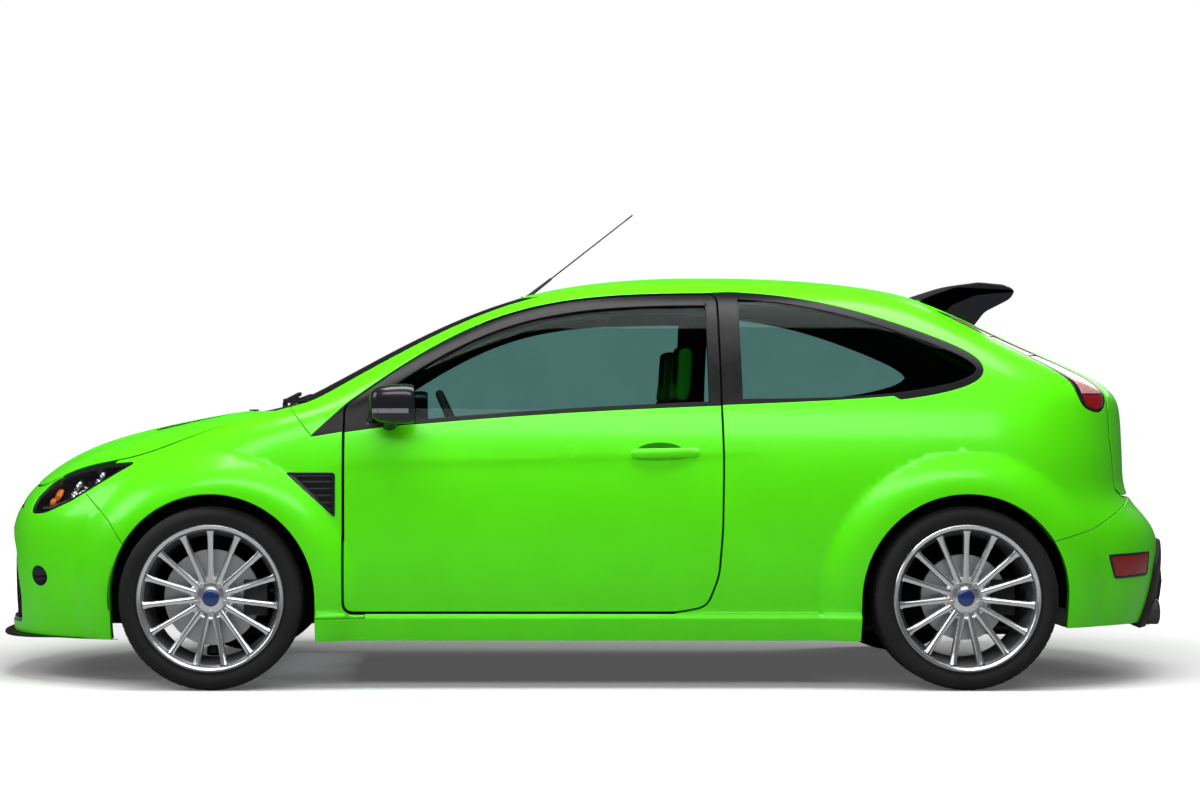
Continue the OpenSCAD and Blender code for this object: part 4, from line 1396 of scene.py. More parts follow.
@dataclass
class Shell(Assembly):
    """Fixed panels of the body with their glass: sides, roof, wings, cowl and windscreen."""

    seam: float = 1.5
    side_depth: float = 42.0
    sill_bottom: float = 168.0
    screen_band: float = 42.0
    gate_gap: float = 10.0
    hinge_gap: float = 9.0
    cowl_gap: float = 28.0
    flange: tuple[float, float] = (28.0, -26.0)
    flange_front: float = 120.0
    side_reach: tuple[float, float] = (-1110.0, 2040.0)
    side_top: float = 1445.0
    gate_from: float = 1000.0
    lamp_from: float = 1200.0
    cowl_to: float = -850.0
    least_share: float = 0.55
    cowl_from: float = -1300.0
    cowl_low: float = 955.0
    wing_from: float = 450.0

    def build(self) -> None:
        """Makes every fixed panel and pane."""
        for side in Side:
            label = side.name.lower()
            self.attach(self.body_side(side), "body", f"body_side_{label}")
            self.attach(self.window_band(side), "body")
            self.attach(self.front_wing(side), "body", f"front_wing_{label}")
        self.attach(self.roof(), "body", "roof_panel")
        self.attach(self.cowl(), "body", "cowl_panel")
        self.attach(self.windscreen(), "body", "windscreen")
        self.attach(self.quarter_glasses(), "body", "quarter_glasses")

    def roof_in_side(self) -> Loop:
        """Region of the roof panel, in side view.

        Returns:
            The outline, one point a row.
        """
        x = np.linspace(-420, self.lines.gate_front - self.gate_gap, 60)
        z = self.skin.top_z(x, np.full(60, self.lines.roof_edge + self.seam))
        return closed_at(columns(x, z), 1520.0)

    def screen_in_side(self) -> Loop:
        """Region ahead of the windscreen pillar's inner edge, in side view.

        Returns:
            The outline, one point a row.
        """
        (b, z0), (t, z1) = self.lines.screen_bottom, self.lines.screen_top
        z = np.linspace(z0, z1 + 4, 40)
        y = b + (t - b) * (z - z0) / (z1 - z0) + self.seam
        x = self.skin.nose_at(y, z)
        return np.concatenate([columns(x, z), [(-1500.0, z1 + 4), (-1500.0, z0)]])

    def beside_screen(self) -> Loop:
        """Region inside the lower corners of the windscreen, in side view.

        Returns:
            The outline, one point a row.
        """
        x = np.linspace(-1320, -840, 70)
        z = self.skin.top_z(x, np.full(70, self.lines.screen_bottom[0] + self.seam))
        return closed_at(columns(x, z), 1150.0)

    def gate_in_side(self) -> Loop:
        """Region behind the tailgate's edge, in side view.

        Returns:
            The outline, one point a row.
        """
        edge = around(self.lines.gate(), self.gate_gap)
        edge = edge[(edge[:, 0] > 300)]
        edge = edge[np.argsort(-edge[:, 1])]
        flat = columns(self.skin.tail_at(edge[:, 0], edge[:, 1]), edge[:, 1])
        return np.concatenate([flat, [(2400.0, flat[-1, 1]), (2400.0, flat[0, 1])]])

    def body_side(self, side: Side) -> bpy.types.Object:
        """Painted side of the body with the pillars, sill and rear quarter.

        Args:
            side: Side of the car.

        Returns:
            The object, linked into the scene.
        """
        skin, lines = self.skin, self.lines
        door = around(lines.door(), lines.shut_gap)
        band = lines.black_band()
        wing = grown(lines.wing(), self.seam)
        joint = lines.rear_joint()
        lamp_rear = grown(lines.tail_lamp(), self.seam)
        lamp = lines.rear_to_side(lamp_rear)
        gate_rear = around(lines.gate(), self.gate_gap)
        roof = self.roof_in_side()
        screen = self.screen_in_side()
        arches = [lines.arch(skin.axle_front), lines.arch(skin.axle_rear)]
        low, (front, rear) = self.sill_bottom, self.side_reach
        frame = np.array(
            [(front, low), (rear, low), (rear, self.side_top), (front, self.side_top)], float
        )
        on_side = region(frame, without=[door, band, wing, joint, roof, screen, *arches])

        def keep(p: Array) -> Array:
            """Which points belong to the piece.

            Args:
                p: Points of the chart.

            Returns:
                True for each of them.
            """
            y = skin.side_y(p[:, 0], p[:, 1])
            rear = columns(y, p[:, 1])
            ok = on_side(p)
            ok &= ~((p[:, 0] > self.gate_from) & within(rear, gate_rear))
            ok &= ~((p[:, 0] > self.lamp_from) & within(rear, lamp_rear))
            cowl = (p[:, 0] < self.cowl_to) & (y < lines.screen_bottom[0] + self.seam)
            ok &= ~(cowl & (p[:, 1] < lines.screen_bottom[1]))
            return ok & (y > self.least_share * skin.half_width(p[:, 1]))

        loops = [frame, door, band, wing, joint, lamp, roof, screen, self.gate_in_side()]
        loops += [lines.crease(), *arches, self.beside_screen()]
        for axle in (skin.axle_front, skin.axle_rear):
            loops.append(circle(axle, skin.hub_z, skin.flare_out, 120))
        ledge = [(-960, skin.skirt_top), (940, skin.skirt_top)]
        loops.append(np.array(ledge + [(x, z - 12) for x, z in ledge[::-1]]))
        cut = Cut(skin, Chart.SIDE, loops, keep, side.value, depth=self.side_depth, back=True)
        return self.sheet(f"body_side_{side.name.lower()}_skin", [cut], [PAINT, SHADED_INNER_PAINT])

    def window_band(self, side: Side) -> bpy.types.Object:
        """Black band between the side windows: the B pillar and the border of the quarter glass.

        Args:
            side: Side of the car.

        Returns:
            The object, linked into the scene.
        """
        lines = self.lines
        door = around(lines.door(), lines.shut_gap)
        band = lines.black_band()
        glass = grown(lines.quarter(), -10)
        keep = region(band, without=[door, glass])
        cut = Cut(self.skin, Chart.SIDE, [band, door, glass], keep, side.value, back=True)
        cut.depth, cut.sink, cut.roll = 20.0, 1.5, 1.5
        outer, inner = (around(lines.door(), by) for by in self.flange)
        above = lines.above_belt(2)
        upper_edge = region(outer, above, without=[inner])

        def behind_door(p: Array) -> Array:
            """Which points belong to the flange behind the door's edge."""
            return upper_edge(p) & (p[:, 0] > self.flange_front)

        x = self.flange_front
        front = np.array([(x, 900), (x, 1500), (x - 1, 1500), (x - 1, 900)])
        loops = [outer, inner, above, front]
        flange = Cut(self.skin, Chart.SIDE, loops, behind_door, side.value, back=True)
        flange.depth, flange.sink, flange.step = 5.0, 47.0, 20.0
        return self.sheet(f"window_band_{side.name.lower()}", [cut, flange], [FRIT, LINER])

    def quarter_glasses(self) -> bpy.types.Object:
        """Fixed glass behind both doors.

        Returns:
            The object, linked into the scene.
        """
        pane = grown(self.lines.quarter(), -9)
        sizes = {"depth": 4.0, "sink": 3.5, "roll": 0.5, "back": True}
        cuts = [Cut(self.skin, Chart.SIDE, [pane], region(pane), side.value, **sizes) for side in Side]
        return self.sheet("quarter_panes", cuts, [GLASS, GLASS])

    def front_wing(self, side: Side) -> bpy.types.Object:
        """Painted wing over a front wheel.

        Args:
            side: Side of the car.

        Returns:
            The object, linked into the scene.
        """
        skin, lines = self.skin, self.lines
        wing = lines.wing()
        arch = lines.arch(skin.axle_front)
        lamp = grown(lines.headlamp(), self.seam)
        door = around(lines.door(), self.hinge_gap)
        bonnet = grown(lines.bonnet(), lines.shut_gap)
        over = lines.over_bonnet(380)
        on_wing = region(wing, without=[arch, lamp, door])

        def keep(p: Array) -> Array:
            """Which points belong to the piece.

            Args:
                p: Points of the chart.

            Returns:
                True for each of them.
            """
            y = skin.side_y(p[:, 0], p[:, 1])
            plan = columns(p[:, 0], y)
            cowl = (p[:, 0] > self.cowl_from) & (y < lines.screen_bottom[0] + self.seam)
            return on_wing(p) & ~within(plan, bonnet) & ~cowl & (y > self.wing_from)

        flare = circle(skin.axle_front, skin.hub_z, skin.flare_out, 120)
        loops = [wing, arch, lamp, door, over, lines.crease(), flare, self.beside_screen()]
        cut = Cut(skin, Chart.SIDE, loops, keep, side.value, depth=16, back=True)
        return self.sheet(f"front_wing_{side.name.lower()}_skin", [cut], [PAINT, SHADED_INNER_PAINT])

    def roof(self) -> bpy.types.Object:
        """Painted roof, its back in the darkened paint as painted shade.

        Returns:
            The object, linked into the scene.
        """
        skin, lines = self.skin, self.lines
        half = lines.roof_edge - self.seam
        rear = lines.gate_front - self.gate_gap
        plate = np.array([(-420, -half), (rear, -half), (rear, half), (-420, half)], float)
        screen = grown(dense(lines.screen(), 12), self.seam)
        y = np.linspace(-560, 560, 50)
        top = columns(skin.nose_at(y, np.full(50, lines.screen_top[1] + self.seam)), y)
        ahead = np.concatenate([top, [(-900.0, 560.0), (-900.0, -560.0)]])

        def keep(p: Array) -> Array:
            """Which points belong to the piece."""
            front = columns(p[:, 1], skin.top_z(p[:, 0], p[:, 1]))
            return within(p, plate) & ~(within(front, screen) & (p[:, 0] < 0)) & ~within(p, ahead)

        cut = Cut(skin, Chart.TOP, [plate, ahead], keep, step=30, depth=18, back=True)
        return self.sheet("roof_skin", [cut], [PAINT, SHADED_INNER_PAINT])

    def cowl(self) -> bpy.types.Object:
        """Black grille panel between the bonnet and the windscreen.

        Returns:
            The object, linked into the scene.
        """
        skin, lines = self.skin, self.lines
        half = lines.screen_bottom[0] - self.seam
        low, high = self.cowl_low, lines.screen_bottom[1] - 1
        bonnet = grown(lines.bonnet(), self.cowl_gap)
        plate = np.array([(-half, low), (half, low), (half, high), (-half, high)])

        def keep(p: Array) -> Array:
            """Which points belong to the piece."""
            plan = columns(skin.nose_at(p[:, 0], p[:, 1]), p[:, 0])
            return within(p, plate) & ~within(plan, bonnet)

        cut = Cut(skin, Chart.NOSE, [plate], keep, step=6, edge=12, depth=10, sink=8, back=True)
        return self.sheet("cowl_skin", [cut], [TRIM, LINER])

    def windscreen(self) -> bpy.types.Object:
        """Windscreen with its black border.

        Returns:
            The object, linked into the scene.
        """
        screen = self.lines.screen()
        inner = grown(screen, -self.screen_band)
        sizes = {"step": 18.0, "edge": 12.0, "depth": 3.0, "sink": 2.0}
        mesh = Mesh()
        self.layer(mesh, 0, Chart.NOSE, [screen], [inner], roll=1.0, **sizes)
        self.layer(mesh, 1, Chart.NOSE, [inner], roll=0.1, **sizes)
        return mesh.build("windscreen_pane", [FRIT, GLASS])


@dataclass
class Door(Assembly):
    """A door with its glass, frame, handle and mirror."""

    side: Side = Side.LEFT
    depth: float = 44.0
    frame: float = 40.0
    sail_x: float = -800.0
    sail_z: float = 900.0
    sail_slope: float = 0.25
    grip_x: tuple[float, float] = (135.0, 372.0)
    grip_z: float = 829.0
    dish_x: float = 235.0
    mirror_y: float = 936.0
    mirror_z: float = 1000.0
    mirror_stations: tuple[tuple[float, float, float], ...] = (
        (-776, 22, 30), (-768, 40, 48), (-745, 56, 62), (-700, 64, 68), (-655, 66, 70), (-630, 64, 68),
        (-622, 60, 64),
    )
    mirror_face: tuple[float, float, float] = (-621.0, 52.0, 55.0)
    strip_z: tuple[float, float] = (968.0, 984.0)

    def build(self) -> None:
        """Makes the door's pieces and hangs them on the door's body."""
        label = self.side.name.lower()
        body = f"{label}_door"
        self.attach(self.panel(), body, f"door_{label}")
        self.attach(self.window_frame(), body)
        self.attach(self.glass(), body, f"door_glass_{label}")
        for piece in self.handle():
            self.attach(piece, body)
        self.attach_set(self.mirror(), body, f"mirror_{label}")

    def panel(self) -> bpy.types.Object:
        """Painted panel below the belt line.

        Returns:
            The object, linked into the scene.
        """
        door = self.lines.door()
        above = self.lines.above_belt(-2)
        keep = region(door, without=[above])
        flare = circle(self.skin.axle_front, self.skin.hub_z, self.skin.flare_out, 120)
        loops = [door, above, self.lines.crease(), flare]
        cut = Cut(self.skin, Chart.SIDE, loops, keep, self.side.value, depth=self.depth, back=True)
        # Back in black trim; the shut-line walls in the darkened paint, as painted shade.
        return self.sheet(f"door_{self.side.name.lower()}_skin", [cut], [PAINT, TRIM, SHADED_INNER_PAINT])

    def opening(self) -> Loop:
        """Outline of the moving glass, in side view."""
        return rounded(around(self.lines.door(), -self.frame), 8, 2)

    def window_frame(self) -> bpy.types.Object:
        """Black frame round the glass, with the sail panel that carries the mirror.

        Returns:
            The object, linked into the scene.
        """
        door = self.lines.door()
        hole = self.opening()
        below = self.lines.above_belt(-1)
        sill = self.lines.above_belt(14)
        upper, window = region(door, below), region(hole, sill)
        x = self.sail_x

        def keep(p: Array) -> Array:
            """Which points belong to the piece."""
            glazed = window(p) & (p[:, 0] > x + self.sail_slope * (p[:, 1] - self.sail_z))
            return upper(p) & ~glazed

        post = np.array([(x, 900), (x + 50, 1100), (x + 49, 1100), (x - 1, 900)])
        loops = [door, hole, below, sill, post]
        cut = Cut(self.skin, Chart.SIDE, loops, keep, self.side.value, back=True)
        cut.depth, cut.sink, cut.roll = 30.0, 1.0, 1.5
        return self.sheet(f"door_frame_{self.side.name.lower()}", [cut], [FRIT, LINER])

    def glass(self) -> bpy.types.Object:
        """Tinted door glass.

        Returns:
            The object, linked into the scene.
        """
        hole = grown(self.opening(), 6)
        sill = self.lines.above_belt(4)
        cut = Cut(self.skin, Chart.SIDE, [hole, sill], region(hole, sill), self.side.value, back=True)
        cut.depth, cut.sink, cut.roll = 4.0, 9.0, 0.3
        return self.sheet(f"door_pane_{self.side.name.lower()}", [cut], [GLASS, GLASS])

    def handle(self) -> list[bpy.types.Object]:
        """Painted pull handle over a flat oval of painted shade in the darkened paint, where the hand hollow
        would be.

        Returns:
            The objects, linked into the scene.
        """
        s = self.side.value
        label = self.side.name.lower()
        x = np.linspace(*self.grip_x, 15)
        z = self.grip_z + 0.02 * (x - 250)
        out = 7 + 14 * np.sin(np.clip((x - self.grip_x[0]) / 200, 0, 1) * math.pi) ** 0.6
        rings = []
        for xi, zi, oi in zip(x, z, out):
            base = float(self.skin.side_y(xi, zi))
            tall = 17 if 150 < xi < 360 else 11
            t = full_turn(16)
            rings.append(columns(xi, s * (base + oi - 6 + 8 * np.cos(t)), zi + tall * np.sin(t)))
        grip = Shapes.make(f"door_grip_{label}", *Shapes.loft(rings), PAINT, corner=60)
        # Flat oval disc in the darkened paint laid on the skin under the grip: painted shade for the hand
        # hollow, which is not modelled.
        base = float(self.skin.side_y(250, self.grip_z))
        points, faces = Shapes.lathe([(0.1, 0), (70, 0), (70, 1.2), (0.1, 1.2)], 48)
        x, y, z = (points * np.array([1.25, 1, 0.52])).T
        points = columns(x + self.dish_x, s * (base + y - 0.4), z + self.grip_z)
        recess_shade = Shapes.make(f"door_dish_{label}", points, faces, SHADED_INNER_PAINT)
        return [grip, recess_shade]

    def mirror_ring(self, count: int, x: float, wide: float, tall: float, power: float) -> Array:
        """Rounded square across the mirror housing.

        Args:
            count: Number of points round it.
            x: Place of the ring along the car.
            wide: Half its width.
            tall: Half its height.
            power: How square it is, less for squarer.

        Returns:
            Points of the ring.
        """
        t = full_turn(count)
        y = self.mirror_y + wide * bulged(np.cos(t), power)
        return columns(float(x), self.side.value * y, self.mirror_z + tall * bulged(np.sin(t), power))

    def mirror(self) -> list[bpy.types.Object]:
        """Black mirror housing with a silver lower strip, the foot and the mirror glass.

        Returns:
            The objects, linked into the scene.
        """
        s = self.side.value
        label = self.side.name.lower()
        rings = [self.mirror_ring(40, *station, 0.62) for station in self.mirror_stations]
        housing = Shapes.make(f"mirror_shell_{label}", *Shapes.loft(rings), GLOSS_BLACK, corner=50)
        face = self.mirror_ring(32, *self.mirror_face, 0.6)
        glass = Shapes.make(f"mirror_face_{label}", face, [list(range(32))], MIRROR)
        foot_y = float(self.skin.side_y(-700, 935))
        foot = Shapes.tube(
            [(-712, s * (foot_y - 6), 934), (-706, s * (foot_y + 22), 940), (-700, s * 905, 956)],
            [30, 25, 26], 16,
        )
        arm = Shapes.make(f"mirror_arm_{label}", *foot, GLOSS_BLACK, corner=60)
        strip = []
        low, high = self.strip_z
        along, widths, _ = zip(*self.mirror_stations)
        for x in np.linspace(-765, -640, 12):
            edge = self.mirror_y + np.interp(x, along, widths)
            outer, inner = s * (edge + 1.2), s * (edge - 6)
            strip.append(np.array([(x, outer, low), (x, outer, high), (x, inner, high), (x, inner, low)]))
        lamp = Shapes.make(f"mirror_strip_{label}", *Shapes.loft(strip), SILVER)
        return [housing, glass, arm, lamp]


@dataclass
class Nose(Assembly):
    """Front bumper with its grilles, lip, fog lamp holes and headlamps."""

    seam: float = 1.5
    bottom: float = 166.0
    lip_low: float = 150.0
    grille_half: Points = (
        (0, 540), (330, 540), (430, 470), (470, 300), (440, 205), (0, 205),
    )
    slot_points: Points = ((-330, 652), (330, 652), (390, 620), (-390, 620))
    fog: tuple[float, float] = (596.0, 384.0)
    fog_r: float = 36.0
    mesh_pitch: float = 34.0
    mesh_slope: float = 0.55
    bar_r: float = 3.2
    bar_sink: float = 22.0
    cover_top: float = 760.0
    cover_rear: float = -1560.0
    cover_share: float = 0.985
    cover_half: float = 860.0
    lamp_rounds: tuple[tuple[float, float, float], ...] = ((-1858, 706, 42.0), (-1766, 748, 33.0))
    amber_at: tuple[float, float] = (-1692.0, 772.0)
    amber_rounds: tuple[tuple[float, float, float], ...] = ((-1938, 688, 25.0), (-1960, 660, 18.0))
    guide_line: Points = (
        (-1984, 632), (-1945, 638), (-1900, 652), (-1850, 674), (-1800, 700), (-1750, 728),
    )
    guide_radii: tuple[float, ...] = (9.0, 9.0, 8.0, 7.0, 6.0, 4.0)

    def build(self) -> None:
        """Makes the nose."""
        self.attach(self.cover(), "body", "front_bumper")
        self.attach(self.grille(), "body", "front_grille")
        for piece in (self.lip(), self.fog_lamps()):
            self.attach(piece, "body")
        self.attach_set(self.headlamps(), "body", "headlamps")

    def grille_loop(self) -> Loop:
        """Outline of the lower grille, in front view."""
        return rounded(mirrored(self.grille_half), 26)

    def slot_loop(self) -> Loop:
        """Outline of the upper slot, in front view."""
        return rounded(self.slot_points, 14)

    def cover(self) -> bpy.types.Object:
        """Painted bumper cover.

        Returns:
            The object, linked into the scene.
        """
        skin, lines = self.skin, self.lines
        wing = grown(lines.wing(), self.seam)
        arch = lines.arch(skin.axle_front)
        lamp = grown(lines.headlamp(), self.seam)
        bonnet = grown(lines.bonnet(), lines.shut_gap)
        grille, slot = self.grille_loop(), self.slot_loop()
        fogs = [circle(s * self.fog[0], self.fog[1], self.fog_r, 40) for s in (-1, 1)]
        behind = np.array([(-1806, 690), (-1985, 770), (-1500, 900), (-1500, 690)], float)
        beside = region(without=[wing, arch, lamp, behind])
        unbroken = region(without=[grille, slot, *fogs])

        def side_of(p: Array) -> Array:
            """Points of the front view as they show in side view."""
            y = np.abs(p[:, 0])
            return columns(skin.nose_at(y, p[:, 1]), p[:, 1])

        def keep(p: Array) -> Array:
            """Which points belong to the piece.

            Args:
                p: Points of the chart.

            Returns:
                True for each of them.
            """
            flat = side_of(p)
            plan = columns(flat[:, 0], np.abs(p[:, 0]))
            ok = (p[:, 1] > self.bottom) & (p[:, 1] < self.cover_top) & (flat[:, 0] < self.cover_rear)
            ok &= np.abs(p[:, 0]) < self.cover_share * skin.half_width(p[:, 1])
            return ok & beside(flat) & unbroken(p) & ~within(plan, bonnet)

        loops = [grille, slot, *fogs]
        for loop in (wing, arch, lamp):
            loops += lines.seen_from_end(loop, -math.inf, -1500)
        edge = bonnet[bonnet[:, 0] < -1800]
        edge = edge[np.argsort(edge[:, 1])]
        over = columns(edge[:, 1], skin.top_z(edge[:, 0], edge[:, 1]))
        loops.append(closed_at(over, 900.0))
        half, low = self.cover_half, self.bottom
        loops.append(np.array([(-half, low), (half, low), (half, low - 10), (-half, low - 10)]))
        cut = Cut(skin, Chart.NOSE, loops, keep, step=18, edge=12, depth=16, back=True)
        return self.sheet("front_bumper_skin", [cut], [PAINT, SHADED_INNER_PAINT])

    def grille(self) -> bpy.types.Object:
        """Diamond mesh in the grille openings with a plain frame round each.

        Returns:
            The object, linked into the scene.
        """
        mesh = Mesh()
        for loop, sink in ((self.grille_loop(), 14.0), (self.slot_loop(), 10.0)):
            inner = grown(loop, -14)
            rim = {"step": 14.0, "edge": 10.0, "depth": 24.0, "sink": sink - 8, "roll": 2.0}
            self.layer(mesh, 0, Chart.NOSE, [loop], [inner], **rim)
            self.layer(mesh, 1, Chart.NOSE, [loop], step=40.0, edge=20.0, depth=2.0, sink=sink + 34)
        frame = mesh.build("grille_frames", [GLOSS_BLACK, LINER])
        bars = self.attach(self.bars(), "body")
        bars.name = "grille_mesh"
        return frame

    def bars(self) -> bpy.types.Object:
        """Slanting bars of both grilles.

        Returns:
            The object, linked into the scene.
        """
        solids = []
        for loop in (self.grille_loop(), self.slot_loop()):
            low, high = loop.min(0), loop.max(0)
            for slope in (-self.mesh_slope, self.mesh_slope):
                reach = (high[0] - low[0]) * self.mesh_slope
                for c in np.arange(low[1] - reach, high[1] + reach, self.mesh_pitch):
                    y = np.linspace(low[0], high[0], 120)
                    flat = columns(y, c + slope * y)
                    inside = within(flat, grown(loop, -4))
                    for run in np.split(np.arange(120), np.flatnonzero(np.diff(inside.astype(int))) + 1):
                        if inside[run[0]] and len(run) > 2:
                            line = flat[run][:: max(1, len(run) // 14)]
                            x = self.skin.nose_at(line[:, 0], line[:, 1]) + self.bar_sink
                            path = columns(x, line[:, 0], line[:, 1])
                            solids.append(Shapes.tube(path, [self.bar_r] * len(path), 6))
        return Shapes.make("grille_mesh", *Shapes.join(solids), SATIN_BLACK, corner=80)

    def lip(self) -> bpy.types.Object:
        """Black lip under the bumper.

        Returns:
            The object, linked into the scene.
        """
        y = np.linspace(-1, 1, 81) * 0.93 * float(self.skin.half_width(self.bottom))
        x = self.skin.nose_at(np.abs(y), np.full(81, self.bottom))
        out = 38.0 * np.clip(1 - (np.abs(y) / 820) ** 3, 0, 1)
        rings = []
        for yi, xi, oi in zip(y, x, out):
            high = self.bottom - 0.5
            low = high - (self.bottom - self.lip_low) * max(0.12, 1 - (abs(yi) / 640) ** 4)
            curl = 0.3 * (high - low)
            edge = xi - oi
            outside = [(edge + 4, yi, low), (edge, yi, low + curl), (edge + 2, yi, high - curl)]
            rings.append(np.array(outside + [(xi - 2, yi, high), (xi + 40, yi, high), (xi + 44, yi, low)]))
        keep = [r for r in rings if r[0, 0] < self.skin.axle_front - self.lines.arch_r - 12]
        return Shapes.make("front_lip", *Shapes.loft(keep), SATIN_BLACK, corner=40)

    def fog_lamps(self) -> bpy.types.Object:
        """Round gloss black cups deep in the fog lamp holes.

        Returns:
            The object, linked into the scene.
        """
        solids = []
        for s in (-1, 1):
            y, z = s * self.fog[0], self.fog[1]
            x, near, far = (float(self.skin.nose_at(abs(y) + d, z)) for d in (0, -10, 10))
            r = self.fog_r
            cup = [(r + 4, 8), (r - 1, 6), (r - 3, 12), (r - 7, 52), (0.1, 58), (0.1, 70), (r + 4, 70)]
            points, faces = Shapes.lathe(cup, 48)
            turned = columns(x + points[:, 1], y + points[:, 0], z + points[:, 2])
            turned[:, 0] += s * (far - near) / 20 * (turned[:, 1] - y)
            solids.append((turned, faces))
        return Shapes.make("fog_lamp_rings", *Shapes.join(solids), GLOSS_BLACK, corner=40)

    def headlamps(self) -> list[bpy.types.Object]:
        """Clear covers, dark housings, projector lenses, chrome rings and indicators of both headlamps.

        Returns:
            The objects, linked into the scene.
        """
        lamp = self.lines.headlamp()
        bonnet = grown(self.lines.bonnet(), self.lines.shut_gap)
        inner = grown(lamp, -9)

        def clear_of_bonnet(p: Array) -> Array:
            """Which points of the side lie outside the bonnet."""
            y = self.skin.side_y(p[:, 0], p[:, 1])
            return ~within(columns(p[:, 0], y), bonnet)

        over = self.lines.over_bonnet(300)
        cover, house = Mesh(), Mesh()
        rings, lenses, ambers = [], [], []
        for side in Side:
            s = side.value
            for mesh, loops, whole, depth, sink, roll in (
                (cover, [lamp, over], region(lamp), 3.0, 0.5, 1.0),
                (house, [lamp, inner, over], region(lamp, without=[inner]), 40.0, 5.0, 1.0),
                (house, [lamp, over], region(lamp), 2.0, 46.0, 0.5),
            ):
                cut = Cut(self.skin, Chart.SIDE, loops, lambda p, a=whole: a(p) & clear_of_bonnet(p), s)
                cut.step, cut.edge, cut.depth, cut.sink, cut.roll = 16.0, 8.0, depth, sink, roll
                cut.into(mesh, 0, 0)
            for x, z, r in self.lamp_rounds:
                facing = self.facing(x, z, s, 30)
                ring = [(r, -14), (r + 5, -12), (r + 5, 6), (r - 3, 6), (r - 5, -8)]
                rings.append(self.turned(ring, *facing))
                lens = [(0.1, 0), (r * 0.5, -2.5), (r * 0.8, -7), (r - 4, -13), (r - 4, -16), (0.1, -16)]
                lenses.append(self.turned(lens, *facing))
            facing = self.facing(*self.amber_at, s, 26)
            ambers.append(self.turned([(0.1, 2), (17, 0), (22, -6), (22, -12), (0.1, -12)], *facing))
            for x, z, r in self.amber_rounds:
                lens = [(0.1, 5), (r * 0.7, 2), (r, -6), (r, -12), (0.1, -12)]
                ambers.append(self.turned(lens, *self.facing(x, z, s, 20)))
            edge = np.array(self.guide_line, float)
            line = self.skin.place(Chart.SIDE, edge, s) - 16 * self.skin.normals(Chart.SIDE, edge, s)
            rings.append(Shapes.tube(line, self.guide_radii, 12))
        pieces = [cover.build("headlamp_covers", [CLEAR]), house.build("headlamp_housings", [GLOSS_BLACK])]
        pieces.append(Shapes.make("headlamp_rings", *Shapes.join(rings), CHROME, corner=40))
        pieces.append(Shapes.make("headlamp_lenses", *Shapes.join(lenses), MIRROR, corner=60))
        pieces.append(Shapes.make("headlamp_indicators", *Shapes.join(ambers), AMBER, corner=60))
        return pieces

    def facing(self, x: float, z: float, s: int, sink: float) -> tuple[Array, Array]:
        """A place under the skin of the side and the way it faces, leaning to the front.

        Args:
            x: Place along the car.
            z: Height.
            s: Sign of the side's Y.
            sink: Depth under the skin.

        Returns:
            The place, and the direction as a unit vector.
        """
        flat = np.array([(x, z)], float)
        normal = self.skin.normals(Chart.SIDE, flat, s)[0]
        place = self.skin.place(Chart.SIDE, flat, s)[0] - sink * normal
        way = normal + np.array([-0.5, 0, 0])
        return place, way / np.linalg.norm(way)

    def turned(self, profile: Sequence[Sequence[float]], place: Array, way: Array) -> Solid:
        """A turned shape whose axis lies along a direction.

        Args:
            profile: Radius and place of each point.
            place: Where the shape stands.
            way: Direction of its axis.

        Returns:
            Points and faces.
        """
        points, faces = Shapes.lathe(profile, 40)
        helper = np.array([0.0, 0.0, 1.0])
        u = np.cross(way, helper)
        u /= np.linalg.norm(u)
        v = np.cross(u, way)
        spread = points[:, :1] * u + points[:, 1:2] * way + points[:, 2:] * v
        return place + spread, faces


